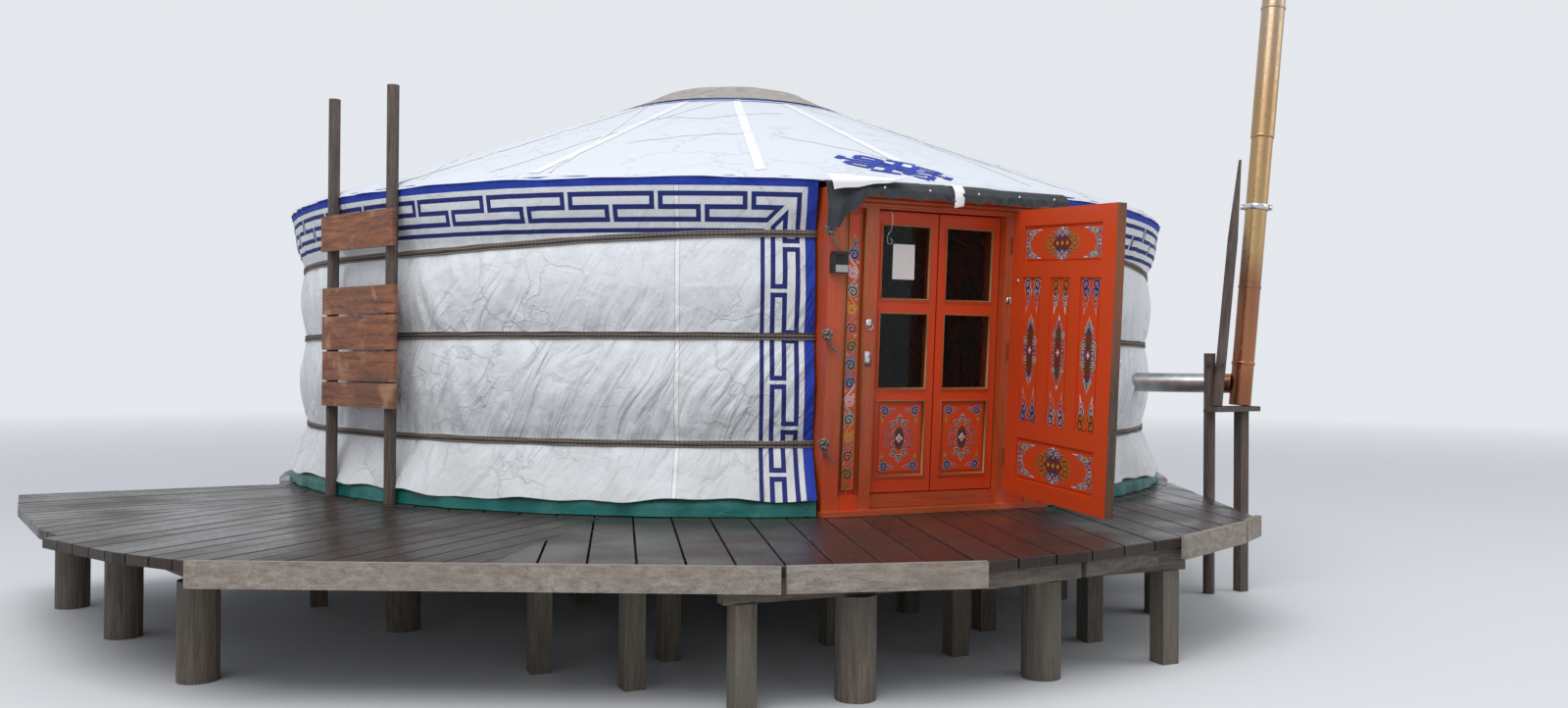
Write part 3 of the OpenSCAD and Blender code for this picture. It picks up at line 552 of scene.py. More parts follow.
feed(tree, shader.inputs["Base Color"], colour)
relief(tree, shader, out["Grain"], 0.002)
sign_pole_wood = timber(
    "sign_pole_wood", rgb(0.17, 0.13, 0.11), rgb(0.055, 0.042, 0.036), UPRIGHT, 7.0, 0.85, 0.005
)
door_paint = painted("door_paint", ORANGE, ORANGE_DARK)
crown_paint = painted("crown_paint", rgb(0.55, 0.08, 0.012), rgb(0.33, 0.04, 0.01))
print("materials so far:", len(bpy.data.materials))

# %% [markdown]
# Metal, plastic and felt have one colour, but it is nowhere quite even, so a fine noise darkens it
# in places.

# %% Plain and metal materials
def plain(name, colour, roughness=0.6, metallic=0.0, mottle=0.25, scale=30.0, depth=0.0003, **fixed):
    """A colour that a fine noise breaks up."""
    material, tree, shader, place = surface(name, roughness, metallic, **fixed)
    cloud = noise(tree, place["Object"], scale, 4.0)
    darker = tuple(c * (1 - mottle) for c in colour[:3]) + (1.0,)
    feed(tree, shader.inputs["Base Color"], blend(tree, spread(tree, cloud, 0.3, 0.7), darker, colour))
    relief(tree, shader, cloud, depth)
    return material


felt = plain("felt", rgb(0.62, 0.61, 0.57), 0.95, 0.0, 0.2, 45.0, 0.002)
zinc = plain("zinc", rgb(0.50, 0.52, 0.53), 0.34, 0.85, 0.3, 18.0)
bright_steel = plain("bright_steel", rgb(0.66, 0.67, 0.68), 0.22, 0.95, 0.15, 60.0)
hinge_steel = plain("hinge_steel", rgb(0.20, 0.15, 0.12), 0.6, 0.7, 0.5, 90.0)
black_plastic = plain("black_plastic", rgb(0.012, 0.012, 0.013), 0.35, 0.0, 0.3, 200.0)
iron = plain("iron", rgb(0.035, 0.031, 0.028), 0.6, 0.4, 0.4, 40.0)
paper = plain("paper", rgb(0.80, 0.79, 0.76), 0.8, 0.0, 0.05, 10.0)
print("materials so far:", len(bpy.data.materials))

# %% [markdown]
# Hot smoke tints the steel of a flue: copper low down, brass above it, and grey towards the top. A
# colour ramp along the pipe's height gives the bands, and a noise makes their edges uneven. The
# glass is mostly clear, and its near-black colour is painted shade for the dim room behind it.

# %% Tinted steel and glass
tinted_steel, tree, shader, place = surface("tinted_steel", 0.3, 0.9)
split = separate(tree, place["Object"])
wavy = calc(tree, "MULTIPLY_ADD", noise(tree, place["Object"], 3.0, 2.0), 0.35, split[2])
ramp = tree.nodes.new("ShaderNodeValToRGB")
feed(tree, ramp.inputs[0], spread(tree, wavy, 1.2, 4.2))
tints = [
    (0.0, rgb(0.15, 0.065, 0.035)), (0.10, rgb(0.38, 0.155, 0.075)),
    (0.28, rgb(0.30, 0.135, 0.075)), (0.36, rgb(0.47, 0.31, 0.15)), (0.64, rgb(0.40, 0.25, 0.13)),
    (1.0, rgb(0.44, 0.38, 0.30))
]
while len(ramp.color_ramp.elements) < len(tints):
    ramp.color_ramp.elements.new(0.5)
for element, (where, colour) in zip(ramp.color_ramp.elements, tints):
    element.position = where
    element.color = colour
feed(tree, shader.inputs["Base Color"], ramp.outputs[0])
feed(
    tree, shader.inputs["Roughness"],
    spread(tree, noise(tree, place["Object"], 25.0), 0.3, 0.7, 0.22, 0.42)
)

# Window glass is mostly clear; its near-black colour is painted shade for the dim room behind it
glass, tree, shader, place = surface("glass", 0.03, 0.0, Alpha=0.28, IOR=1.5)
feed(tree, shader.inputs["Base Color"], rgb(0.010, 0.013, 0.012))
feed(
    tree, shader.inputs["Roughness"],
    spread(tree, noise(tree, place["Object"], 6.0), 0.3, 0.8, 0.01, 0.06)
)
print("tinted steel has", len(tints), "tints")

# %% [markdown]
# The nodes of the CAD model keep their meshes. Only their materials are replaced, by name.

# %% Materials on the CAD nodes
looks = {
    weathered_post: ["deck_posts"], weathered_beam: ["deck_joists"], grey_plank: ["edge_planks"],
    lath_wood: [f"lattice_{i}" for i in range(1, 6)],
    felt: [f"wall_cover_{i}" for i in range(1, 7)]
    + [f"roof_cover_{side}" for side in ("front", "right", "back", "left")],
    frame_wood: ["door_posts"], rail_wood: ["door_lintel", "door_threshold"],
    door_paint: ["side_panels", "glazed_leaf_left", "glazed_leaf_right", "outer_leaf"],
    glass: ["glass_left", "glass_right"], hinge_steel: ["hinge_pins"],
    black_plastic: ["door_light"], crown_paint: ["crown_wheel", "crown_posts"],
    pole_wood: ["roof_poles_left", "roof_poles_right"], zinc: ["flue_branch", "flue_cowl"],
    tinted_steel: ["flue_tee", "flue_pipe"], sign_pole_wood: ["flue_stand", "sign_poles"],
    sign_wood: ["sign_boards"],
}
for material, nodes in looks.items():
    for node_name in nodes:
        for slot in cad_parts[node_name].material_slots:
            slot.material = material
print(len(looks), "materials for", sum(len(nodes) for nodes in looks.values()), "CAD nodes")

# %% [markdown]
# The canvas is the largest surface, so it gets the most care: the blue border, the sewn seams,
# small gathers beside each rope, and folds on a slant where the cloth hangs slack. All of them read
# the canvas's own UV, which is metres along the wall and metres below its top.

# %% Cloth
def cloth(name, colour, size=5.0, depth=0.004, roughness=0.85):
    """Cloth of one colour; size counts creases per metre."""
    material, tree, shader, place = surface(name, roughness)
    out = use(tree, crease_group, Vector=place["UV"], Size=size)
    feed(tree, shader.inputs["Base Color"], blend(tree, 1.0, colour, out["Shade"], "MULTIPLY"))
    relief(tree, shader, out["Height"], depth)
    return material


dark_cloth = cloth("dark_cloth", rgb(0.036, 0.040, 0.046), 9.0, 0.003)
teal_cloth = cloth("teal_cloth", rgb(0.004, 0.15, 0.13), 6.0, 0.004, 0.45)
strap_cloth = cloth("strap_cloth", rgb(0.84, 0.84, 0.83), 3.0, 0.001)
roof_cloth = cloth("roof_cloth", rgb(0.70, 0.73, 0.78), 2.3, 0.004)
blue_cloth = cloth("blue_cloth", BLUE, 12.0, 0.001)
print("cloths:", dark_cloth.name, teal_cloth.name, strap_cloth.name, roof_cloth.name, blue_cloth.name)

# %% [markdown]
# The wall's canvas reads u, metres along the wall, and v, metres below its top. The border and the
# seams are masks of u and v. The relief adds three things: gathers near the ropes, slanting folds
# lower down, and the shared creases.

# %% Wall canvas material
ARC = 2 * PI - 2 * COVER_EDGE
WALL_LENGTH = ARC * CLOTH_RADIUS
SEAM_STEP = 2.95
SEAM_AT = (math.radians(333.5) - COVER_EDGE) / ARC * WALL_LENGTH
wall_cloth, tree, shader, place = surface("wall_cloth", 0.85)
split = separate(tree, place["UV"])
from_edge = calc(tree, "MINIMUM", split[0], calc(tree, "SUBTRACT", WALL_LENGTH, split[0]))
border = use(tree, meander, Side=from_edge, Down=split[1])
sewn = calc(tree, "MAXIMUM", border["Line"], border["Stripe"])
seam = calc(tree, "PINGPONG", calc(tree, "SUBTRACT", split[0], SEAM_AT), SEAM_STEP / 2)
out = use(tree, crease_group, Vector=place["UV"], Size=3.2)
# Small gathers on both sides of each rope: a noise that is stretched along v, where a rope is near
gathers = vector_calc(tree, "MULTIPLY", place["UV"], (26.0, 2.2, 1.0))[0]
pinch = 0.0
for rope_v in (0.31, 0.80, 1.35):
    away = calc(tree, "ABSOLUTE", calc(tree, "SUBTRACT", split[1], rope_v))
    pinch = calc(tree, "MAXIMUM", spread(tree, away, 0.02, 0.24, 1.0, 0.0), pinch)
gathered = calc(tree, "MULTIPLY", noise(tree, gathers, 1.0, 3.0, 0.6), pinch)
# Sharp folds on a slant, u + 0.55 v, that a slow noise fans out; strongest in the slack lower part
fan = calc(tree, "MULTIPLY", noise(tree, place["UV"], 1.6, 1.0), 2.4)
lean = tree.nodes.new("ShaderNodeCombineXYZ")
across_folds = calc(tree, "MULTIPLY_ADD", split[1], 0.55, split[0])
feed(tree, lean.inputs[0], calc(tree, "MULTIPLY_ADD", across_folds, 7.0, fan))
feed(tree, lean.inputs[1], calc(tree, "MULTIPLY", split[1], 1.5))
slanted = calc(
    tree, "ABSOLUTE", calc(tree, "SUBTRACT", noise(tree, lean.outputs[0], 1.0, 3.0, 0.55), 0.5)
)
slack = calc(
    tree, "MULTIPLY", spread(tree, split[1], 0.35, 1.0, 0.35, 1.0),
    spread(tree, split[1], 1.38, 1.50, 1.0, 0.4)
)
slanted = calc(tree, "MULTIPLY", slanted, slack)
soil = calc(
    tree, "MULTIPLY", spread(tree, split[1], 1.25, 1.72),
    spread(tree, noise(tree, place["UV"], 3.0), 0.35, 0.7, 0.1, 0.6)
)
white = blend(tree, soil, WHITE, rgb(0.50, 0.47, 0.42))
white = blend(tree, calc(tree, "LESS_THAN", seam, 0.011), white, rgb(0.90, 0.90, 0.89))
white = blend(tree, calc(tree, "COMPARE", seam, 0.012, 0.0015), white, rgb(0.42, 0.43, 0.45))
colour = blend(tree, border["Stripe"], blend(tree, border["Line"], white, NAVY), BLUE)
feed(tree, shader.inputs["Base Color"], blend(tree, 1.0, colour, out["Shade"], "MULTIPLY"))
folds = calc(tree, "MULTIPLY_ADD", slanted, -9.0, calc(tree, "MULTIPLY", gathered, 1.6))
relief(
    tree, shader, calc(tree, "ADD", folds, calc(tree, "MULTIPLY_ADD", sewn, 0.3, out["Height"])),
    0.007
)
print("canvas:", round(WALL_LENGTH, 2), "m long, a seam every", SEAM_STEP, "m")

# %% [markdown]
# The deck is wet from rain. Wet wood is dark, and it shines where water lies, so a slow noise
# changes the roughness and a slower one the tone.

# %% Wet boards
wet_board, tree, shader, place = surface("wet_board", 0.3, Specular_IOR_Level=0.12)
out = use(tree, grain_group, Vector=place["UV"], Stretch=ALONG_U, Scale=9.0)
tone = noise(tree, place["UV"], 0.5, 1.0)
colour = blend(tree, out["Grain"], rgb(0.010, 0.007, 0.006), rgb(0.046, 0.033, 0.028))
colour = blend(tree, spread(tree, tone, 0.35, 0.65, 0.0, 0.6), colour, rgb(0.070, 0.052, 0.044))
feed(tree, shader.inputs["Base Color"], colour)
wetness = spread(tree, noise(tree, place["Object"], 1.6, 4.0), 0.38, 0.62)
feed(tree, shader.inputs["Roughness"], spread(tree, wetness, 0.0, 1.0, 0.10, 0.38))
relief(tree, shader, out["Grain"], 0.0012)
print("wet_board has", len(tree.nodes), "nodes")

# %% [markdown]
# A rope's strands cross it on a slant. A wave in u + v gives them, since u runs along the cord and
# v round it. The dark colour in the grooves between the strands is painted shade.

# %% Rope
def rope(name, light, dark):
    """Twisted cord: u runs along it and v round it, so u + v is constant along a strand."""
    material, tree, shader, place = surface(name, 0.85)
    split = separate(tree, place["UV"])
    turn = calc(tree, "ADD", calc(tree, "MULTIPLY", split[0], 45.0), split[1])
    ridge = calc(tree, "PINGPONG", turn, 0.5)
    # Painted shade: the dark colour fills the grooves where the ridge is low
    feed(tree, shader.inputs["Base Color"], blend(tree, spread(tree, ridge, 0.05, 0.35), dark, light))
    relief(tree, shader, ridge, 0.0015)
    return material


rope_fibre = rope("rope_fibre", rgb(0.27, 0.23, 0.19), rgb(0.10, 0.08, 0.068))
dark_fibre = rope("dark_fibre", rgb(0.075, 0.058, 0.050), rgb(0.025, 0.020, 0.018))
print("fibres:", rope_fibre.name, dark_fibre.name)

# %% [markdown]
# ## Studio
# A plain pale floor, a pale sky and two large soft lights. The photo was taken under clouds, so the
# lights are wide and weak, and most light comes from the sky. Only what the camera sees directly is
# made paler, so that the floor fades out behind the yurt.

# %% Floor
PALE = rgb(0.78, 0.81, 0.85)


def seen_directly(tree):
    """1 where the camera, a mirror or a pane looks, and 0 for the rays that light the object."""
    path = tree.nodes.new("ShaderNodeLightPath").outputs
    seen = calc(tree, "MAXIMUM", path["Is Camera Ray"], path["Is Glossy Ray"])
    return calc(tree, "MAXIMUM", seen, path["Is Transmission Ray"])


FLOOR_REACH, FLOOR_SIDES = 60, 96
angle = np.linspace(0, 2 * PI, FLOOR_SIDES, endpoint=False)
floor_mesh = bpy.data.meshes.new("studio_floor")
rim = np.column_stack([FLOOR_REACH * np.cos(angle), FLOOR_REACH * np.sin(angle), np.zeros(FLOOR_SIDES)])
floor_mesh.from_pydata(rim.tolist(), [], [list(range(FLOOR_SIDES))])
studio_floor = bpy.data.objects.new("studio_floor", floor_mesh)
bpy.context.collection.objects.link(studio_floor)

# Far from the object, the floor takes the backdrop's colour, so that no horizon shows
pale_floor, tree, shader, place = surface("studio_pale", 0.9)
shader.inputs["Base Color"].default_value = rgb(0.74, 0.75, 0.76)
distance = vector_calc(tree, "LENGTH", place["Object"])["Value"]
far_away = calc(tree, "MULTIPLY", spread(tree, distance, 7.0, 26.0), seen_directly(tree))
backdrop = tree.nodes.new("ShaderNodeEmission")
backdrop.inputs[0].default_value = PALE
mixed = tree.nodes.new("ShaderNodeMixShader")
feed(tree, mixed.inputs[0], far_away)
tree.links.new(shader.outputs[0], mixed.inputs[1])
tree.links.new(backdrop.outputs[0], mixed.inputs[2])
tree.links.new(mixed.outputs[0], tree.nodes["Material Output"].inputs[0])
floor_mesh.materials.append(pale_floor)
print("floor disc:", FLOOR_REACH, "m in radius,", FLOOR_SIDES, "sides")

# %% [markdown]
# The sky lights the yurt from all sides, as clouds do. A key light and a weak fill light give the
# soft shadows.

# %% Sky and lamps
world = bpy.data.worlds.new("studio")
bpy.context.scene.world = world
world.use_nodes = True
tree = world.node_tree
sky = tree.nodes["Background"]
sky.inputs[0].default_value = rgb(0.87, 0.91, 0.98)
sky.inputs[1].default_value = 0.62
pale = tree.nodes.new("ShaderNodeBackground")
pale.inputs[0].default_value = PALE
mixed = tree.nodes.new("ShaderNodeMixShader")
feed(tree, mixed.inputs[0], seen_directly(tree))
tree.links.new(sky.outputs[0], mixed.inputs[1])
tree.links.new(pale.outputs[0], mixed.inputs[2])
tree.links.new(mixed.outputs[0], tree.nodes["World Output"].inputs[0])
LIGHT_AIM = Vector((0, -1, 1.4))
for label, spot, size, power in (
    ("key", (-5.5, -7.0, 11.0), 9.0, 900.0), ("fill", (9.0, -8.0, 7.0), 7.0, 220.0)
):
    lamp = bpy.data.objects.new(label, bpy.data.lights.new(label, "AREA"))
    lamp.data.size = size
    lamp.data.energy = power
    lamp.location = spot
    lamp.rotation_euler = (LIGHT_AIM - Vector(spot)).to_track_quat("-Z", "Y").to_euler()
    bpy.context.collection.objects.link(lamp)
    print(label, "light", power, "W")

# %% [markdown]
# ## The deck's boards
# Each sector of the terrace is cut into boards that lie side by side. A board is the part of the
# sector's outline between two parallel lines, found by clipping a polygon against a half plane.
# A carpenter works in the same way: the boards are laid too long and sawn along the edge.

# %% Clipping and plates
def clip(polygon, normal, offset):
    """The part of a polygon where dot(normal, p) <= offset (Sutherland and Hodgman)."""
    kept = []
    for p, q in zip(polygon, polygon[1:] + polygon[:1]):
        a, b = np.dot(normal, p) - offset, np.dot(normal, q) - offset
        if a <= 0:
            kept.append(p)
        if a * b < 0:
            kept.append(p + (q - p) * (a / (a - b)))
    return kept


def prism(outline, low, high, chamfer):
    """A flat plate with the outline of a polygon, and with its upper edge cut off at 45 degrees."""
    p = np.asarray(outline, float)
    n = len(p)
    before, after = p - np.roll(p, 1, 0), np.roll(p, -1, 0) - p
    before /= np.maximum(np.linalg.norm(before, axis=1, keepdims=True), 1e-9)
    after /= np.maximum(np.linalg.norm(after, axis=1, keepdims=True), 1e-9)
    inward = np.stack([-(before[:, 1] + after[:, 1]), before[:, 0] + after[:, 0]], 1)
    inward /= np.maximum(np.linalg.norm(inward, axis=1, keepdims=True), 1e-9)
    inner = p + inward * chamfer
    rings = [(p, low), (p, high - chamfer), (inner, high)]
    points = np.concatenate([np.column_stack([q, np.full(n, z)]) for q, z in rings])
    k = np.arange(n)
    after_k = (k + 1) % n
    faces = [list(range(n))[::-1]]
    for level_no in (0, 1):
        a, b = level_no * n, (level_no + 1) * n
        faces += np.stack([a + k, a + after_k, b + after_k, b + k], 1).tolist()
    faces.append([2 * n + i for i in range(n)])
    return points, faces


print("a square plate has", len(prism([(0, 0), (1, 0), (1, 1), (0, 1)], 0, 0.1, 0.01)[1]), "faces")

# %% [markdown]
# The terrace's outer edge has a corner wherever its frame turns. A sector is what lies between two
# azimuths, outside the round floor.

# %% The deck's outline
# Azimuth in degrees and radius of the terrace's outer corners
terrace = [
    (-84, 4.53), (-75, 4.56), (-63, 4.69), (-59.65, 4.715), (-59.5, 4.79), (-52, 4.84),
    (-46.8, 4.85), (-18.6, 4.52), (-8.2, 4.515), (-1.3, 4.39), (7.4, 4.25), (17, 4.095), (21, 4.03),
    (46, 3.156)
]
terrace_plan = [np.array(polar(r, a * DEGREE)) for a, r in terrace]
FLOOR_EDGE = 3.13


def edge_at(azimuth):
    """Where the terrace's outer edge crosses an azimuth, kept just inside the terrace's ends."""
    azimuth = min(max(azimuth, terrace[0][0] + 0.02), terrace[-1][0] - 0.02)
    ray = np.array(polar(1.0, azimuth * DEGREE))
    normal = np.array([-ray[1], ray[0]])
    for p, q in zip(terrace_plan, terrace_plan[1:]):
        a, b = np.dot(normal, p), np.dot(normal, q)
        if a * b <= 0 and a != b:
            return p + (q - p) * (a / (a - b))
    return terrace_plan[-1]


def sector(low, high, inner_radius):
    """A terrace sector's outline between two azimuths in degrees, counter-clockwise."""
    inside = [p for (a, _), p in zip(terrace, terrace_plan) if low + 0.05 < a < high - 0.05]
    outer = [edge_at(low)] + inside + [edge_at(high)]
    arc = [
        np.array(polar(inner_radius, a * DEGREE))
        for a in np.linspace(high, low, int((high - low) / 2) + 2)
    ]
    return outer + arc


print("the terrace's edge has", len(terrace), "corners")

# %% [markdown]
# Each board is clipped to the outline, gets a small chamfer as a sawn board has, and lies a
# fraction of a millimetre higher or lower than its neighbours.

# %% Deck boards
BOARD_THICK, BOARD_CHAMFER = 0.044, 0.003


def boards(heap, outline, direction, width, gap):
    """Boards side by side over an outline, along a direction in degrees."""
    along = np.array(polar(1.0, direction * DEGREE))
    across = np.array([-along[1], along[0]])
    reach = [np.dot(across, p) for p in outline]
    first, last = math.floor(min(reach) / width), math.ceil(max(reach) / width)
    for k in range(first, last + 1):
        low, high = k * width + gap / 2, (k + 1) * width - gap / 2
        piece = clip(clip(list(outline), across, high), -across, -low)
        if len(piece) < 3:
            continue
        shape = np.array(piece)
        keep = np.linalg.norm(shape - np.roll(shape, 1, 0), axis=1) > 1e-4
        shape = shape[keep]
        area = 0.5 * abs(
            np.dot(shape[:, 0], np.roll(shape[:, 1], -1))
            - np.dot(shape[:, 1], np.roll(shape[:, 0], -1))
        )
        if len(shape) < 3 or area < 0.002:
            continue
        top = DECK + random.uniform(-0.0015, 0.0)
        points, faces = prism(shape, DECK - BOARD_THICK, top, BOARD_CHAMFER)
        shift = random.uniform(0, 40, 2)
        uv = np.column_stack([points[:, :2] @ along + shift[0], points[:, :2] @ across + shift[1]])
        heap.add(points, faces, 0, uv)


circle = [np.array(polar(FLOOR_EDGE, a)) for a in np.linspace(0, 2 * PI, 180, endpoint=False)]
heap = Heap()
boards(heap, circle, -16, 0.19, 0.006)
floor_boards = heap.build("floor_boards", wet_board, smooth=False)
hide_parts("floor")
heap = Heap()
for low, high, direction, width in ((-84, -66, -75, 0.125), (-66, -33, -46, 0.14), (-33, 46, -16, 0.19)):
    boards(heap, sector(low, high, FLOOR_EDGE + 0.006), direction, width, 0.008)
terrace_boards = heap.build("terrace_boards", wet_board, smooth=False)
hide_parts("terrace_panels")
print(
    "boards: floor", len(floor_boards.data.polygons), "faces, terrace",
    len(terrace_boards.data.polygons), "faces"
)

# %% [markdown]
# ## The wall's canvas
# The canvas is a grid over azimuth and height. Its radius follows the felt, is drawn in under each
# rope, and swells between them. A pleat is a ridge: a Gauss curve across its line, times a parabola
# along it. Hundreds of them run up and down from the ropes. Their sum is limited by a tanh, which
# keeps the cloth thin where many ridges meet.

# %% The wall's outline
ROPES = [(0.36, 2.950), (0.91, 2.968), (1.40, 2.978)]
felt_line = np.array(
    [
        [0.060, 3.052], [0.18, 3.002], [0.334, 2.950], [0.386, 2.950], [0.635, 2.985],
        [0.884, 2.968], [0.936, 2.968], [1.155, 2.992], [1.374, 2.978], [1.426, 2.978],
        [1.55, 3.025], [WALL_TOP, 3.056], [WALL_TOP + 0.05, 3.057]
    ]
)


def rope_shift(number, azimuth):
    """The upper rope hangs lower away from the door: a smooth step in the azimuth's size."""
    off = np.abs(np.mod(azimuth + PI, 2 * PI) - PI)
    t = np.clip((off - 0.23) / 0.85, 0, 1)
    return (0.034 - 0.080 * t * t * (3 - 2 * t)) if number == 2 else 0.0 * off


def wall_radius(z):
    """The canvas's radius without pleats: the felt's outline plus a swell between the ropes."""
    stops = np.array([0.02] + [z_rope for z_rope, _ in ROPES] + [WALL_TOP + 0.06])
    cell = np.clip(np.searchsorted(stops, z) - 1, 0, len(stops) - 2)
    t = (z - stops[cell]) / (stops[cell + 1] - stops[cell])
    swell = np.sin(PI * np.clip(t, 0, 1)) ** 0.8 * np.array([0.004, 0.008, 0.008, 0.005])[cell]
    base = np.interp(z, felt_line[:, 0], felt_line[:, 1])
    # Between two ropes the felt's outline has a kink; a half sine of the same height replaces it
    for low, high, bulge in ((0.386, 0.884, 0.026), (0.936, 1.374, 0.019)):
        t = np.clip((z - low) / (high - low), 0, 1)
        base = base + bulge * (np.sin(PI * t) - 1 + np.abs(2 * t - 1))
    return base + 0.004 + swell


print("ropes at", [round(z, 3) for z, _ in ROPES], "m above the deck")

# %% [markdown]
# Every rope gathers the canvas, so short folds start above and below it. Longer ones hang on a
# slant between the middle and the lower rope, where the cloth is slack.

# %% Folds of the wall canvas
def ridges(height, u, v, spans):
    """Adds soft ridges: lift * exp(-(across / width)^2) * (1 - (along / length)^2) each."""
    for centre_u, centre_v, angle, length, width, lift in spans:
        i0, i1 = np.searchsorted(u, (centre_u - length, centre_u + length))
        a, b = u[i0:i1, None] - centre_u, v[None, :] - centre_v
        along = a * math.cos(angle) + b * math.sin(angle)
        across = b * math.cos(angle) - a * math.sin(angle)
        height[i0:i1] += lift * np.exp(-(across / width) ** 2) * np.clip(1 - (along / length) ** 2, 0, 1)


def scatter(count, u_range, v_range, angle, lengths, widths, lifts):
    """Ridges at random, within these ranges. The function angle draws the angle of each."""
    draw = random.uniform
    return [
        (draw(*u_range), draw(*v_range), angle(), draw(*lengths), draw(*widths), draw(*lifts))
        for _ in range(count)
    ]


WALL_COLUMNS, WALL_ROWS = 1150, 76
CANVAS_TOP = WALL_TOP + 0.022
u = np.linspace(0, WALL_LENGTH, WALL_COLUMNS)
drop = np.linspace(0, CANVAS_TOP - 0.080, WALL_ROWS)
z = CANVAS_TOP - drop
pleat = np.zeros((WALL_COLUMNS, WALL_ROWS))
spans = []
for rope_z, _ in ROPES:
    level_v = CANVAS_TOP - rope_z
    for way, count in ((1, 150), (-1, 105)):
        for _ in range(count):
            length = random.uniform(0.10, 0.42)
            slant = PI / 2 + random.normal(0, 0.22)
            lift = 0.022 if rope_z < 0.5 and way > 0 else 0.014
            spans.append(
                (
                    random.uniform(0, WALL_LENGTH), level_v + way * length * 0.75, slant, length,
                    random.uniform(0.016, 0.040), random.uniform(0.003, lift)
                )
            )
spans += scatter(
    260, (0, WALL_LENGTH), (0.35, 1.6), lambda: random.uniform(0, PI), (0.08, 0.35),
    (0.016, 0.05), (-0.008, 0.009)
)
# Long slanting folds that the lower rope pulls out of the slack canvas
spans += scatter(
    170, (0, WALL_LENGTH), (0.95, 1.30), lambda: PI / 2 + random.normal(0.32, 0.20),
    (0.18, 0.50), (0.018, 0.036), (0.006, 0.019)
)
spans += scatter(
    90, (0, WALL_LENGTH), (0.40, 0.75), lambda: PI / 2 + random.normal(-0.1, 0.30),
    (0.15, 0.40), (0.018, 0.045), (0.003, 0.010)
)
ridges(pleat, u, drop, spans)
azimuth = COVER_EDGE + u / WALL_LENGTH * ARC
warp = rope_shift(2, azimuth)[:, None] * np.exp(-((z - ROPES[2][0]) / 0.16) ** 2)[None, :]
drawn = z[None, :] - warp
near_rope = np.min(np.abs(drawn[None] - np.array([r[0] for r in ROPES])[:, None, None]), axis=0)
pleat *= np.clip((near_rope - 0.018) / 0.05, 0, 1) * np.clip((drop + 0.02) / 0.25, 0.12, 1)[None, :]
PLEAT_LIMIT, CLEAR_OF_FELT = 0.017, 0.0035
pleat = PLEAT_LIMIT * np.tanh((pleat - 0.7 * pleat.mean(axis=0)[None, :]) / PLEAT_LIMIT)
pleat = np.maximum(pleat, -0.004)
print(len(spans), "folds, up to", round(1000 * float(pleat.max()), 1), "mm high")

# %% [markdown]
# The folds are added to the wall's radius. The canvas never goes inside the felt, and its hem
# flares and waves because nothing holds it down.

# %% Wall canvas
hem_wave = 0.012 * np.sin(u * 2.3) + 0.008 * np.sin(u * 7.1 + 1) + 0.006 * np.sin(u * 17.0)
fall = np.clip((drop - 1.2) / (drop[-1] - 1.2), 0, 1)
felt_radius = np.interp(z, felt_line[:, 0], felt_line[:, 1])[None, :]
flare = (0.022 + 0.007 * np.sin(u * 9.0 + 2) + 0.004 * np.sin(u * 21.0))[:, None] * fall[None, :] ** 2
radius = np.maximum(
    wall_radius(drawn.ravel()).reshape(drawn.shape) + pleat, felt_radius + CLEAR_OF_FELT
) + flare
height = z[None, :] + hem_wave[:, None] * fall[None, :] ** 3 * 0.9 + DECK
x, y = polar(radius, azimuth[:, None])
points = np.stack([x, y, height], -1)
uv = grid_uv(u, drop)
wall_canvas = build(
    "wall_canvas", points, grid_faces(WALL_COLUMNS, WALL_ROWS)[:, ::-1], wall_cloth, uv=uv
)
print("canvas faces", len(wall_canvas.data.polygons))

# %% [markdown]
# The skirt is a narrow strip of coated cloth under the hem. It keeps rain off the felt's foot, and
# it waves a little, since it is slightly longer than the wall.

# %% Skirt
SKIRT_COLUMNS, SKIRT_ROWS = 900, 7
u = np.linspace(0, WALL_LENGTH, SKIRT_COLUMNS)
t = np.linspace(0, 1, SKIRT_ROWS)
wave = 0.007 * np.sin(u * 11) + 0.006 * np.sin(u * 23 + 1.5) + 0.004 * np.sin(u * 41)
behind = np.interp(0.003 + 0.112 * t, [0.0, 0.060, 0.118], [3.0515, 3.0500, 3.0290])
radius = behind[None, :] + 0.7 * (0.012 + wave)[:, None] * (1 - t)[None, :] ** 1.3
azimuth = COVER_EDGE + u / WALL_LENGTH * ARC
x, y = polar(radius, azimuth[:, None])
height = DECK + 0.003 + 0.112 * t[None, :] + 0 * radius
points = np.stack([x, y, height], -1)
uv = grid_uv(u, 0.115 * t)
skirt = build("skirt", points, grid_faces(SKIRT_COLUMNS, SKIRT_ROWS), teal_cloth, uv=uv)
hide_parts("wall_skirt")
print("skirt faces", len(skirt.data.polygons))

# %% [markdown]
# ## Girth ropes
# Each band is four cords side by side. The cords end in a knot beside the door frame. They are
# lashed tight, so they follow the canvas and don't hang.

# %% Girth ropes
CORDS, CORD_STEPS = 4, 420
CORD_R, CORD_STEP = 0.0050, 0.0094
heap = Heap()
azimuth = np.linspace(COVER_EDGE - 0.002, 2 * PI - COVER_EDGE + 0.002, CORD_STEPS)
for number, (rope_z, _) in enumerate(ROPES):
    for k in range(CORDS):
        waver = 0.0012 * np.sin(azimuth * (31 + 5 * k) + number) + 0.0008 * np.sin(azimuth * 77 + k)
        level_z = rope_z + rope_shift(number, azimuth)
        felt_r = np.interp(level_z, felt_line[:, 0], felt_line[:, 1])
        x, y = polar(felt_r + 0.0095 + 0.0006 * np.sin(azimuth * 53 + k), azimuth)
        path = np.column_stack([x, y, DECK + level_z + (k - 1.5) * CORD_STEP + waver])
        points, faces, uv = tube(path, CORD_R, 8)
        heap.add(points, faces, 1 if k == 1 or number == 1 and k == 3 else 0, uv)
print("girth ropes:", len(ROPES) * CORDS, "cords")

# %% [markdown]
# Each band ends beside the door in a knot, and the ends of its cords hang from it. The knot is a
# trefoil, a closed curve that crosses itself three times.

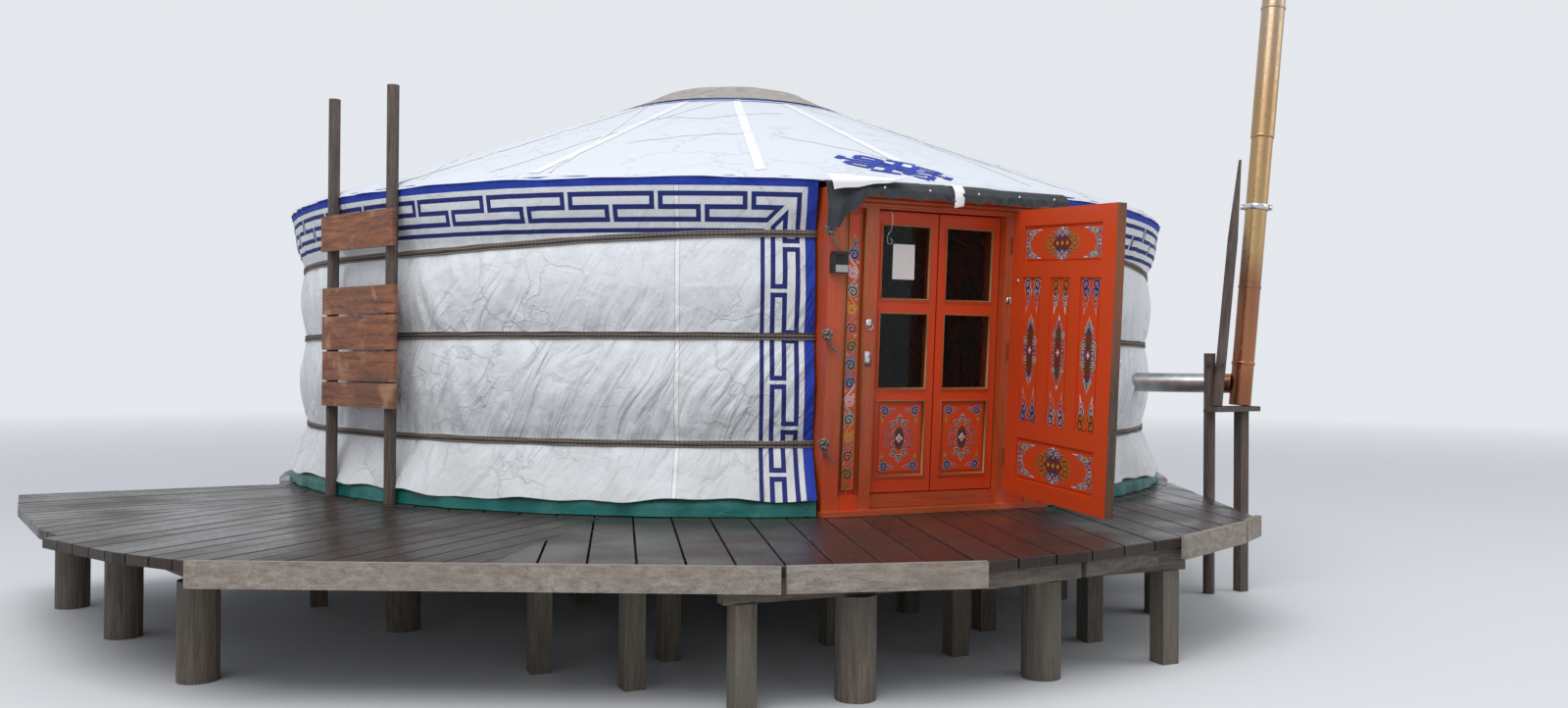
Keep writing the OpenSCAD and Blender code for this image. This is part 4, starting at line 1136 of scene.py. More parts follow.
# %% Knots and loose ends
def knot(centre, size, turn):
    """A trefoil: x = sin t + 2 sin 2t, z = cos t - 2 cos 2t, y = -sin 3t, on the door's plane."""
    t = np.linspace(0, 2 * PI, 60)
    path = np.column_stack(
        [np.sin(t) + 2 * np.sin(2 * t), -np.sin(3 * t) * 1.1, np.cos(t) - 2 * np.cos(2 * t)]
    ) * size / 3
    c, s = math.cos(turn), math.sin(turn)
    path = path @ np.array([[c, 0, s], [0, 1, 0], [-s, 0, c]]) + centre
    return on_door(path)


for number, (rope_z, _) in enumerate(ROPES):
    for side in (-1, 1):
        centre = np.array([side * 0.672, -0.030, rope_z + 0.012 + (0.034 if number == 2 else 0)])
        for turn in (0.3, 1.4):
            points, faces, uv = tube(
                knot(centre + [0, -0.006 * turn, 0], 0.026, turn * side), 0.0062, 7,
                up=(0.3, 1, 0.2)
            )
            heap.add(points, faces, 0, uv)
        for k in range(5):
            t = np.linspace(0, 1, 14)
            sway = side * (0.006 + 0.007 * k)
            path = centre + np.column_stack(
                [-sway * t * 2, -0.006 * np.sin(3 * t + k), -0.018 - (0.035 + 0.012 * k) * t]
            )
            points, faces, uv = tube(on_door(path), 0.0045 * (1 - 0.4 * t), 6, up=(1, 0, 0))
            heap.add(points, faces, 0, uv)
girth = heap.build("girth_bands", [rope_fibre, dark_fibre])
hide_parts("girth_ropes")
print("cords:", len(girth.data.polygons), "faces in", CORDS * len(ROPES), "cords and their knots")

# %% [markdown]
# ## The roof
# The roof's canvas is a cone that turns down over the eaves. Its height is lifted a little over
# each roof pole by a cosine with 75 periods, one for each pole.

# %% The roof's outline
ROOF_COLUMNS, ROOF_ROWS = 900, 74
ROOF_POLES = 75
SLANT = math.sqrt(1 + ROOF_SLOPE ** 2)
roof_line = [
    (0.70, 0.0), (3.030, 0.0), (3.050, -0.001), (3.061, -0.006), (3.066, -0.014), (3.066, -0.026)
]
line_r = np.array([p[0] for p in roof_line])


def roof_height(r):
    """The cone: height = top + (inner radius - r) * slope."""
    return ROOF_TOP + (ROOF_INNER - r) * ROOF_SLOPE


line_z = np.array([roof_height(min(r, 3.045)) + dz for r, dz in roof_line])
line_s = np.concatenate([[0], np.cumsum(np.hypot(np.diff(line_r), np.diff(line_z)))])
s = np.linspace(0, line_s[-1], ROOF_ROWS)
base_r, base_z = np.interp(s, line_s, line_r), np.interp(s, line_s, line_z)
print("from the crown to the hem:", round(float(s[-1]), 3), "m of cloth")

# %% [markdown]
# Small folds lie in all directions on the roof, and short ones run down over the eaves.

# %% Folds of the roof's canvas
azimuth = np.linspace(0, 2 * PI, ROOF_COLUMNS, endpoint=False)
u = azimuth * CLOTH_RADIUS
crease = np.zeros((ROOF_COLUMNS, ROOF_ROWS))
spans = scatter(
    420, (0.3, 18.5), (0.2, 2.5),
    lambda: random.uniform(-0.9, 0.9) + PI / 2 * (random.random() < 0.35),
    (0.06, 0.30), (0.020, 0.045), (-0.002, 0.005)
)
spans += scatter(
    260, (0.1, 18.7), (2.40, 2.62), lambda: PI / 2 + random.normal(0, 0.2), (0.05, 0.2),
    (0.015, 0.03), (0.001, 0.006)
)
ridges(crease, u, s, spans)
crease += 0.0025 * np.cos(ROOF_POLES * azimuth)[:, None] * np.clip(s / 2.4, 0, 1)[None, :]
crease = np.maximum(crease, -0.002) + 0.0045
tilt_r, tilt_z = ROOF_SLOPE / SLANT, 1 / SLANT
over = np.clip((base_r - 3.02) / 0.04, 0, 1)
radius = base_r[None, :] + crease * (tilt_r + (1 - tilt_r) * over)[None, :]
height = base_z[None, :] + crease * (tilt_z * (1 - over))[None, :]
hem = 0.003 * np.sin(u * 5.1) + 0.002 * np.sin(u * 13.0)
height[:, -4:] += hem[:, None] * np.linspace(0.2, 1, 4)[None, :]
print("folds up to", round(1000 * float(crease.max()), 1), "mm high")

# %% [markdown]
# Straps and cords need to know how high the canvas lies at any place, so a function gives it from
# the same grid that the canvas is built from.

# %% Roof canvas
def roof_place(az, r, lift):
    """A point of the roof's canvas: azimuth, radius and how far it lies above the canvas."""
    i = np.mod(az, 2 * PI) / (2 * PI) * ROOF_COLUMNS
    j = np.interp(r, base_r[base_r < 3.03], np.arange((base_r < 3.03).sum()))
    i0, j0 = np.floor(i).astype(int), np.clip(np.floor(j).astype(int), 0, ROOF_ROWS - 2)
    fi, fj = i - i0, j - j0
    i0, i1 = i0 % ROOF_COLUMNS, (i0 + 1) % ROOF_COLUMNS
    near = (1 - fi) * (1 - fj) * crease[i0, j0] + fi * (1 - fj) * crease[i1, j0]
    h = near + (1 - fi) * fj * crease[i0, j0 + 1] + fi * fj * crease[i1, j0 + 1] + lift
    px, py = polar(r + h * tilt_r, az)
    return np.stack([px, py, roof_height(r) + h * tilt_z], -1)


x, y = polar(radius, azimuth[:, None])
points = np.stack([x, y, height], -1)
flat_r = s + 0.75
uv = np.stack(
    [flat_r[None, :] * np.sin(azimuth)[:, None], flat_r[None, :] * np.cos(azimuth)[:, None]], -1
).reshape(-1, 2)
faces = grid_faces(ROOF_COLUMNS + 1, ROOF_ROWS) % (ROOF_COLUMNS * ROOF_ROWS)
roof_canvas = build("roof_canvas", points, faces[:, ::-1], roof_cloth, uv=uv)
print(
    "roof canvas faces", len(roof_canvas.data.polygons), "slant length",
    round(float(line_s[-1]), 3), "m"
)

# %% [markdown]
# White straps run down the roof, and six groups of flat cords cross them on their way from the
# crown to the eaves. Two blue bands close the roof's canvas off at the crown. Each of these is a
# strip that takes its height from the canvas below it, so that nothing floats or sinks in.

# %% Straps, cords and blue bands on the roof
heap = Heap()


def strip(px, py, width, lift, slot):
    """A flat strip that lies on the roof along a line in plan."""
    step = np.gradient(np.column_stack([px, py]), axis=0)
    step /= np.linalg.norm(step, axis=1, keepdims=True)
    rows = []
    for k in np.linspace(-0.5, 0.5, 5):
        qx, qy = px - step[:, 1] * width * k, py + step[:, 0] * width * k
        rows.append(roof_place(np.arctan2(qx, -qy), np.hypot(qx, qy), lift))
    points = np.stack(rows, 1)
    length = np.concatenate([[0], np.cumsum(np.hypot(np.diff(px), np.diff(py)))])
    uv = grid_uv(length, np.linspace(0, width, 5))
    heap.add(points.reshape(-1, 3), grid_faces(len(px), 5), slot, uv)


def straight(start, end, count):
    """A straight line in plan, from (azimuth in degrees, radius) to another."""
    p, q = np.array(polar(start[1], start[0] * DEGREE)), np.array(polar(end[1], end[0] * DEGREE))
    line = p + (q - p) * np.linspace(0, 1, count)[:, None]
    return line[:, 0], line[:, 1]


for k in range(18):
    strip(*straight((20 * k, 0.93), (20 * k + (1.5 if k % 2 else -1.0), 3.02), 100), 0.056, 0.0024, 0)
ring_az = np.linspace(0, 2 * PI, 361)
strip(*polar(0.895, ring_az), 0.030, 0.0034, 1)
strip(*polar(0.965, ring_az), 0.016, 0.0034, 1)
roof_straps = heap.build("roof_straps", [strap_cloth, blue_cloth])

heap = Heap()
for turn in range(0, 360, 60):
    for start, end in (
        ((4, 1.00), (21, 3.02)), ((34, 1.00), (13, 2.95)), ((18, 1.55), (33, 1.60)),
        ((46, 2.10), (64, 2.98)), ((24, 2.30), (42, 2.05)), ((33, 1.60), (53, 1.35))
    ):
        px, py = straight((start[0] + turn, start[1]), (end[0] + turn, end[1]), 70)
        sway = 0.016 * np.sin(np.linspace(0, 2 * PI, 70) + turn)
        strip(px + sway, py + sway * 0.5, 0.013, 0.0030, 0)
roof_net = heap.build("roof_net", strap_cloth)
print(
    "straps", len(roof_straps.data.polygons), "faces, crossing cords", len(roof_net.data.polygons),
    "faces"
)

# %% [markdown]
# The endless knot above the door is a plait of square turns. It is drawn as bars on a small grid
# whose two directions are u and v, and the grid is laid on the cone.

# %% Endless knot on the roof
KNOT_AT = np.array([-0.165, -2.800])
KNOT_U, KNOT_V = np.array([0.746, -0.666]) * 0.090, np.array([-0.666, -0.746]) * 0.052
bars = [(-3.4, 0, 3.4, 0), (0, -3.4, 0, 3.4)]
for side in (-1, 1):
    bars += [(-2.6, 1.1 * side, 2.6, 1.1 * side), (1.1 * side, -2.6, 1.1 * side, 2.6)]
    bars += [(3.3 * side, -0.9, 3.3 * side, 0.9), (-0.9, 3.3 * side, 0.9, 3.3 * side)]
    bars += [(2.5 * side, way * 1.1, 2.5 * side, way * 2.5) for way in (-1, 1)]
    bars += [(way * 1.1, 2.5 * side, way * 2.5, 2.5 * side) for way in (-1, 1)]
heap = Heap()
for u0, v0, u1, v1 in bars:
    t = np.linspace(0, 1, 24)[:, None]
    line = KNOT_AT + (u0 + (u1 - u0) * t) * KNOT_U + (v0 + (v1 - v0) * t) * KNOT_V
    strip(line[:, 0], line[:, 1], 0.036 if v0 == v1 else 0.042, 0.0036 + 0.0004 * (u0 == u1), 0)
knot_print = heap.build("roof_knot", blue_cloth)
print(
    "the knot's grid steps are", round(1000 * float(np.hypot(*KNOT_U))), "and",
    round(1000 * float(np.hypot(*KNOT_V))), "mm"
)

# %% [markdown]
# The crown is shut with a coarse net cloth over felt. It is stretched over the crown wheel's arched
# spokes and tied down all round, so it is a shallow dome that flattens towards its edge.

# %% Crown cover
# The dome's profile follows the CAD cover's
net_cloth, tree, shader, place = surface("net_cloth", 0.85)
split = separate(tree, place["UV"])
meshes = [calc(tree, "PINGPONG", split[k], 0.011) for k in (0, 1)]
thread = spread(tree, calc(tree, "MINIMUM", *meshes), 0.0015, 0.0035, 1.0, 0.0)
cloud = noise(tree, place["UV"], 14.0, 5.0)
under = blend(tree, spread(tree, cloud, 0.35, 0.65), rgb(0.27, 0.24, 0.20), rgb(0.48, 0.44, 0.38))
feed(
    tree, shader.inputs["Base Color"],
    blend(tree, calc(tree, "MULTIPLY", thread, 0.75), under, rgb(0.66, 0.64, 0.60))
)
relief(tree, shader, calc(tree, "MULTIPLY_ADD", cloud, 2.0, thread), 0.005)
crown_top, dome_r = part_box("crown_cover")[1][2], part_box("crown_cover")[1][0]
low_z = roof_height(dome_r) + 0.0105
bend_z = low_z + 0.74 * (crown_top - low_z)
NET_RINGS, NET_COLUMNS = 34, 240
net_r = np.linspace(0.012, 0.862, NET_RINGS)
azimuth = np.linspace(0, 2 * PI, NET_COLUMNS, endpoint=False)
stops_r = [0.0, dome_r * 0.46, dome_r * 0.72, dome_r - 0.065, dome_r, 0.87]
stops_z = [
    crown_top + 0.004, crown_top - 0.001, bend_z + 0.004, roof_height(dome_r - 0.065) + 0.0175,
    low_z + 0.004, roof_height(0.87) + 0.010
]
net_z = np.interp(net_r, stops_r, stops_z)
net_z[1:-1] = np.maximum(net_z[1:-1], (net_z[:-2] + 2 * net_z[1:-1] + net_z[2:]) / 4)
lumps = (
    0.0035 * np.sin(9 * azimuth)[None, :] * np.sin(net_r * 11)[:, None]
    + 0.002 * np.sin(23 * azimuth + 1)[None, :] * np.sin(net_r * 23)[:, None]
)
lumps = np.maximum(lumps, -0.0015) * np.clip((0.86 - net_r) / 0.1, 0, 1)[:, None]
x, y = polar(net_r[:, None], azimuth[None, :])
points = np.stack([x, y, net_z[:, None] + lumps], -1).reshape(-1, 3)
faces = grid_faces(NET_RINGS, NET_COLUMNS, ring=True).tolist() + [list(range(NET_COLUMNS))[::-1]]
crown_net = build("crown_net", points, faces, net_cloth, uv=points[:, :2])
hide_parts("crown_cover")
print("crown net: top at", round(float(points[:, 2].max()), 3), "m")

# %% [markdown]
# ## The flap over the door
# A strip of dark coated cloth is folded over the lintel. Its lower edge hangs in small waves. A
# corner of the roof's canvas hangs over its left end, and a white tab over its middle.

# %% Flap
FLAP_COLUMNS, FLAP_ROWS = 300, 26
u = np.linspace(-0.705, 0.705, FLAP_COLUMNS)
t = np.linspace(0, 1, FLAP_ROWS)
flap_line = np.array(
    [
        [0.0, -0.004, 1.692], [0.25, -0.040, 1.700], [0.55, -0.076, 1.688], [0.8, -0.108, 1.655],
        [1.0, -0.113, 1.612]
    ]
)
flap_y = np.interp(t, flap_line[:, 0], flap_line[:, 1])[None, :] + 0 * u[:, None]
flap_z = np.interp(t, flap_line[:, 0], flap_line[:, 2])[None, :] + 0 * u[:, None]
folds = np.zeros((FLAP_COLUMNS, FLAP_ROWS))
ridges(folds, u, t * 0.25, scatter(
    90, (-0.7, 0.7), (0.1, 0.25), lambda: PI / 2 + random.normal(0, 0.5), (0.04, 0.12),
    (0.008, 0.02), (-0.006, 0.010)
))
flap_y -= folds * np.clip(t * 2 - 0.5, 0, 1)[None, :]
edge_wave = 0.005 * np.sin(u * 38) + 0.004 * np.sin(u * 71 + 1)
flap_z += edge_wave[:, None] * (t ** 4)[None, :] + 0.006 * (t ** 4)[None, :]
left_drop = np.clip((-0.50 - u) / 0.15, 0, 1) ** 1.2
flap_z -= 0.16 * left_drop[:, None] * (t ** 1.5)[None, :]
flap_y += (0.040 + 0.015 * np.sin(u * 60))[:, None] * left_drop[:, None] * (t ** 1.2)[None, :]
points = on_door(np.stack([u[:, None] + 0 * flap_y, flap_y, flap_z], -1).reshape(-1, 3))
uv = grid_uv(u, 0.25 * t)
flap = build("door_flap", points, grid_faces(FLAP_COLUMNS, FLAP_ROWS), dark_cloth, uv=uv)
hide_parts("awning")
print("flap", len(flap.data.polygons), "faces")

# %% [markdown]
# A corner of the roof's canvas hangs loose over the flap's left end, and a tab is folded over its
# middle. Five rivets sit in the flap.

# %% Loose corner, tab and rivets
heap = Heap()
a, b = np.linspace(0, 1, 40), np.linspace(0, 1, 14)
corner_x = -0.715 + 0.40 * a[:, None] + 0.02 * b[None, :] * (1 - a[:, None])
corner_hang = (0.072 * (1 - a[:, None]) ** 0.9 + 0.012) * b[None, :]
corner_y = (
    -0.050
    - 0.074 * np.sin(PI / 2 * np.clip(b * 1.6, 0, 1))[None, :] * (0.75 + 0.25 * a[:, None])
    + 0.004 * np.sin(a * 19)[:, None]
)
corner_z = 1.722 - 0.002 * a[:, None] - corner_hang + 0.003 * np.sin(a * 14)[:, None] * b[None, :]
points = np.stack(np.broadcast_arrays(corner_x, corner_y, corner_z), -1).reshape(-1, 3)
heap.add(points, grid_faces(40, 14), 0, grid_uv(0.4 * a, 0.15 * b))
tab = np.array(
    [
        [-0.030, 1.712], [-0.080, 1.702], [-0.112, 1.672], [-0.121, 1.645], [-0.122, 1.600],
        [-0.120, 1.590]
    ]
)
run = np.linspace(0, 1, 24)
tab_y, tab_z = (np.interp(run, np.linspace(0, 1, len(tab)), tab[:, k]) for k in (0, 1))
side = np.linspace(-1, 1, 7)
tab_x = 0.022 + 0.031 * side[None, :] * (1 - 0.12 * run[:, None]) - 0.012 * run[:, None]
points = np.stack(
    np.broadcast_arrays(
        tab_x, tab_y[:, None] - 0.003 * (1 - side[None, :] ** 2),
        tab_z[:, None] + 0.006 * side[None, :] * run[:, None]
    ),
    -1
)
heap.add(points.reshape(-1, 3), grid_faces(24, 7), 0, grid_uv(0.14 * run, 0.03 * side))
t = np.linspace(0, 2 * PI, 11)[:-1]
for rivet_x in (-0.42, -0.16, 0.13, 0.38, 0.60):
    rings = np.concatenate([
        np.column_stack([rivet_x + r * np.cos(t), np.full(10, -0.1165 - h), 1.664 + r * np.sin(t)])
        for r, h in ((0.006, 0.000), (0.005, 0.002), (0.0001, 0.003))
    ])
    heap.add(rings, grid_faces(3, 10, ring=True))
loose_canvas = heap.build("loose_canvas", strap_cloth, place=on_door)
print("loose canvas over the door:", len(loose_canvas.data.polygons), "faces")

# %% [markdown]
# ## Painted ornament
# The ornament is made of tapered ribbons and filled shapes, about a millimetre high. A shape is
# drawn on a plane (a, b), and a mapping carries it to the face of a leaf or a post. The motifs are
# old ones that many painters use: a spiral with a pale rim, a drop, petals round a centre. A
# painter lays the rim first and fills it, and the order of heights here is the same.

# %% Paint colours
PAINTS = {
    "white": rgb(0.82, 0.79, 0.75), "pink": rgb(0.84, 0.34, 0.36), "navy": rgb(0.022, 0.030, 0.115),
    "green": rgb(0.030, 0.085, 0.055), "gold": rgb(0.66, 0.30, 0.045), "sky": rgb(0.22, 0.42, 0.66),
    "brown": rgb(0.17, 0.035, 0.014),
}
paint_materials = [
    plain("paint_" + label, colour, 0.45, 0.0, 0.25, 220.0, 0.0002)
    for label, colour in PAINTS.items()
]
PAINT = {label: index for index, label in enumerate(PAINTS)}
LAYER = 0.0005


def paint_levels(layer):
    """Where a layer of paint starts and ends above the wood."""
    return 0.0001 + layer * LAYER, 0.0006 + layer * LAYER


print("paints:", ", ".join(PAINTS))

# %% [markdown]
# A ribbon is a brush stroke: it follows a path and tapers at both ends. A blob is a filled outline.
# Both are raised like thick paint, with a bevelled edge.

# %% Ribbons and filled shapes
class Ornament(Heap):
    """A heap of flat shapes: the third coordinate is the height above the painted face."""

    def ribbon(self, path, width, paint, layer=0, taper=0.35):
        """A stroke p(t) + k w(t) n(t), with k from -1 to 1 and a half sine for the width w."""
        path = np.asarray(path, float)
        step = np.gradient(path, axis=0)
        step /= np.maximum(np.linalg.norm(step, axis=1, keepdims=True), 1e-9)
        normal = np.column_stack([-step[:, 1], step[:, 0]])
        run = np.linspace(0, 1, len(path))
        half = (
            width / 2 * (taper + (1 - taper) * np.sin(PI * np.clip(run * 0.85 + 0.12, 0, 1)))
        )[:, None]
        low, high = paint_levels(layer)
        rows = np.stack([np.column_stack([path + half * k * normal, np.full(len(path), h)])
                         for k, h in ((-1, low), (-0.5, high), (0.5, high), (1, low))], 1)
        self.add(rows.reshape(-1, 3), grid_faces(len(path), 4), PAINT[paint])

    def blob(self, outline, paint, layer=0):
        """The outline, a smaller copy of it 0.5 mm higher, and a point in the middle."""
        p = np.asarray(outline, float)
        n, middle = len(p), p.mean(0)
        low, high = paint_levels(layer)
        inner = middle + (p - middle) * 0.90
        points = np.concatenate(
            [
                np.column_stack([p, np.full(n, low)]), np.column_stack([inner, np.full(n, high)]),
                [[*middle, high + 0.0003]]
            ]
        )
        k = np.arange(n)
        after = (k + 1) % n
        faces = np.stack([k, after, n + after, n + k], 1).tolist() + np.stack(
            [n + k, n + after, np.full(n, 2 * n)], 1
        ).tolist()
        self.add(points, faces, PAINT[paint])


print("each layer of paint lies", round(1000 * LAYER, 2), "mm above the last")

# %% [markdown]
# The motifs are put together from drops, petals and scrolls. A drop can be turned and scaled.

# %% Drops, petals and scrolls
def turned(points, angle, scale):
    """Points turned by an angle and scaled: p' = scale R(angle) p."""
    c, s = math.cos(angle) * scale, math.sin(angle) * scale
    return points @ np.array([[c, s], [-s, c]])


def petals(count, deep, n=48):
    """A closed flower: r(t) = 1 - deep + deep |cos(count t / 2)|."""
    t = np.linspace(0, 2 * PI, n, endpoint=False)
    r = 1 - deep + deep * np.abs(np.cos(count * t / 2))
    return np.column_stack([r * np.cos(t), r * np.sin(t)])


def teardrop():
    """A drop that points up: x = sin t sin(t / 2)^1.3 / 2, y = cos t."""
    t = np.linspace(0, 2 * PI, 22, endpoint=False)
    return np.column_stack([np.sin(t) * np.sin(t / 2) ** 1.3 * 0.5, np.cos(t)])


def scroll(art, centre, place, size, angle, edge, fill, flip=(1, 1), turns=1.2, rim=0.0055):
    """An outlined spiral: r(t) = size (1 - 0.75 t), angle(t) = angle + 2 pi turns t.

    flip mirrors it together with its place.
    """
    t = np.linspace(0, 1, 20)
    q = angle + 2 * PI * turns * t
    path = (
        np.asarray(place) + size * (1 - 0.75 * t)[:, None] * np.column_stack([np.cos(q), np.sin(q)])
    ) * flip + centre
    art.ribbon(path, size * 0.44 + rim, edge, 0, 0.6)
    art.ribbon(path, size * 0.44, fill, 1, 0.5)


FLIPS = ((1, 1), (-1, 1), (1, -1), (-1, -1))
QUARTER_TURN = np.array([[0, 1], [-1, 0]])
print("a drop has", len(teardrop()), "points, and a flower has", len(petals(5, 0.3)))

# %% [markdown]
# Each motif is a short table of scrolls, in shares of the motif's half width and half height. It is
# mirrored to the four quarters, as a painter does it with one stencil.

# %% Motifs of the glazed leaves
def lozenge(art, centre, half_w, half_h):
    """The glazed leaves' motif: green scrolls at the ends, pink ones at the sides, a flower."""
    centre = np.asarray(centre, float)
    core = petals(2, 0.25) * (half_h * 0.50, half_w * 0.46) @ QUARTER_TURN
    art.blob(core + centre, "brown", 0)
    for flip in FLIPS:
        for x, y, size, angle, edge, fill in (
            (0.15, 0.83, 0.20, 1.2, "white", "green"), (0.46, 0.60, 0.27, 0.4, "white", "green"),
            (0.80, 0.32, 0.22, -0.6, "pink", "brown"), (0.86, 0.07, 0.17, -1.6, "pink", "brown"),
            (0.36, 0.25, 0.25, 2.4, "white", "navy"), (0.12, 0.46, 0.15, 3.0, "gold", "brown"),
        ):
            scroll(
                art, centre, (x * half_w, y * half_h), size * half_w, angle, edge, fill, flip, 0.95,
                0.0038
            )
    for way in (1, -1):
        art.blob(
            teardrop() * (half_w * 0.15, half_w * 0.16 * way) + centre + (0, way * half_h * 1.0),
            "white", 0
        )
        art.blob(
            teardrop() * (half_w * 0.08, half_w * 0.10 * way) + centre + (0, way * half_h * 0.99),
            "green", 1
        )
    art.blob(petals(4, 0.45, 40) * (half_w * 0.26, half_w * 0.30) + centre, "white", 1)
    art.blob(petals(4, 0.45, 40) * (half_w * 0.16, half_w * 0.19) + centre, "gold", 2)
    art.blob(petals(4, 0.2, 16) * half_w * 0.07 + centre, "pink", 3)


def corner(art, centre, size, flip):
    """Corner motif: a navy scroll in sky blue, with pink curls beside it and gold ones under it."""
    scroll(art, centre, (0, 0), size, 0.8, "sky", "navy", flip, 1.35)
    for x, y, big, angle, edge, fill in (
        (-1.55, 0.28, 0.52, 2.6, "pink", "brown"), (-2.35, 0.40, 0.34, 2.6, "pink", "brown"),
        (0.30, -1.55, 0.50, -1.2, "gold", "brown"), (0.42, -2.30, 0.30, -1.2, "gold", "gold")
    ):
        scroll(art, centre, (x * size, y * size), big * size, angle, edge, fill, flip)
    t = np.linspace(0, 1, 8)[:, None]
    art.ribbon(
        (np.array([[0.42, -2.5]]) * size + t * [[0.05 * size, -1.0 * size]]) * flip + centre,
        size * 0.14, "gold", 0, 0.2
    )
    for angle in (0.1, 0.8, 1.5):
        tip = np.array([math.cos(angle), math.sin(angle)]) * size * 1.25
        art.blob((turned(teardrop(), angle - PI / 2, size * 0.28) + tip) * flip + centre, "sky", 0)


print("motifs: lozenge and corner")

# %% [markdown]
# The solid leaf has larger and richer motifs. They are built in the same way.

# %% Motifs of the solid leaf
def tall_lozenge(art, centre, half_w, half_h, kinds):
    """The solid leaf's upright motif: five rows of paired scrolls over a dark heart."""
    centre = np.asarray(centre, float)
    core = petals(2, 0.30) * (half_h * 0.80, half_w * 0.62) @ QUARTER_TURN
    art.blob(core + centre, "brown", 0)
    rows = (
        (0.14, 0.83, 0.26), (0.30, 0.66, 0.33), (0.44, 0.47, 0.40), (0.58, 0.26, 0.42),
        (0.64, 0.06, 0.36)
    )
    for flip in FLIPS:
        for k, (x, y, size) in enumerate(rows):
            edge, fill = kinds[k % len(kinds)]
            scroll(art, centre, (x * half_w, y * half_h), size * half_w, 0.9 - 0.5 * k, edge, fill, flip)
    for way in (1, -1):
        art.blob(
            teardrop() * (half_w * 0.30, half_w * 0.34 * way) + centre + (0, way * half_h * 0.97),
            kinds[-1][0], 0
        )
    art.blob(petals(4, 0.4, 32) * (half_w * 0.24, half_w * 0.36) + centre, "pink", 2)
    art.blob(petals(4, 0.3, 16) * half_w * 0.12 + centre, "white", 3)


def medallion(art, centre, half_w, half_h):
    """The wide panels' motif: a brown heart, navy scrolls above and below, gold ones beside."""
    centre = np.asarray(centre, float)
    art.blob(petals(6, 0.22, 60) * (half_w * 0.62, half_h * 0.56) + centre, "brown", 0)
    for x in (-0.30, 0.0, 0.30):
        art.blob(petals(4, 0.4, 24) * half_h * 0.15 + centre + (x * half_w, 0), "gold", 1)
    for flip in FLIPS:
        for x, y, size, angle, edge, fill in (
            (0.15, 0.68, 0.27, 0.5, "white", "navy"), (0.38, 0.55, 0.15, 0.0, "sky", "navy"),
            (0.10, 0.34, 0.14, 2.0, "sky", "navy"), (0.56, 0.48, 0.23, 0.8, "gold", "brown"),
            (0.78, 0.26, 0.24, 0.0, "gold", "brown"), (0.93, 0.06, 0.15, -0.8, "gold", "brown"),
            (0.60, 0.12, 0.15, 2.2, "gold", "brown"),
        ):
            scroll(art, centre, (x * half_w, y * half_h), size * half_h, angle, edge, fill, flip)
    for way in (1, -1):
        art.blob(
            teardrop() * (half_h * 0.14, half_h * 0.16 * way) + centre + (0, way * half_h * 0.97),
            "white", 1
        )


def bracket(art, at, half_h, side):
    """A panel end's motif: a column of scrolls, with two arms that taper towards the middle."""
    for way in (1, -1):
        for x, y, size, angle, edge, fill in (
            (0.20, 0.80, 0.19, 2.2, "pink", "brown"), (0.24, 0.46, 0.23, 3.6, "pink", "brown"),
            (0.30, 0.14, 0.19, 2.4, "white", "navy"), (0.60, 0.72, 0.21, 3.0, "white", "green"),
            (0.94, 0.80, 0.16, 3.0, "white", "green"), (1.22, 0.86, 0.11, 3.0, "sky", "navy"),
            (0.56, 0.38, 0.13, 4.2, "pink", "navy"),
        ):
            scroll(art, at, (x * half_h, y * half_h), size * half_h, angle, edge, fill, (side, way))
        t = np.linspace(0, 1, 8)[:, None]
        art.ribbon(
            (np.array([[1.28, 0.90]]) * half_h + t * [[0.50 * half_h, 0.03 * half_h]]) * (side, way)
            + at,
            half_h * 0.07, "white", 0, 0.2
        )


def pendant(art, at, high, way, side, kinds):
    """One of a pair of tassels: scrolls that shrink towards a thin tail."""
    for k, (y, size) in enumerate(((0.12, 0.165), (0.34, 0.150), (0.54, 0.120), (0.70, 0.085))):
        edge, fill = kinds[k // 2]
        hand = side if k % 2 else -side
        scroll(
            art, at, (0.02 * hand * high, y * high), size * high, 1.4 + k, edge, fill, (hand, -way),
            1.15
        )
    t = np.linspace(0, 1, 10)[:, None]
    tail = np.array([[0.01 * side, 0.70]]) + t * [[0.05 * side, 0.30]]
    art.ribbon(tail * high * (1, -way) + at, high * 0.045, kinds[1][0], 0, 0.2)


print("motifs: tall_lozenge, medallion, bracket and pendant")

# %% [markdown]
# ## Ornament and fittings of the door
# The glazed leaves carry a lozenge and four corners each. Beads of bare wood frame the panes, and
# a sheet of blank paper and a bent wire are fixed to the left leaf.

# %% Glazed leaves
# The lower field is wood, and the two above it are panes
OPEN_IN, OPEN_OUT = 0.052, 0.332
LOWER = (0.187, 0.577)
FIELD_Y = 0.058
panes_at = [LOWER, (0.645, 1.035), (1.111, 1.489)]


def frame_strip(heap, x0, x1, z0, z1, profile, slot=0):
    """A mitred frame round an opening: the profile gives how far out and how far forward."""
    corners = [(x0, z0, -1, -1), (x1, z0, 1, -1), (x1, z1, 1, 1), (x0, z1, -1, 1)]
    rows = [[(x + sx * out, y, z + sz * out) for x, z, sx, sz in corners] for out, y in profile]
    heap.add(
        np.array(rows).reshape(-1, 3),
        [f[::-1] for f in grid_faces(len(profile), 4, ring=True).tolist()], slot
    )


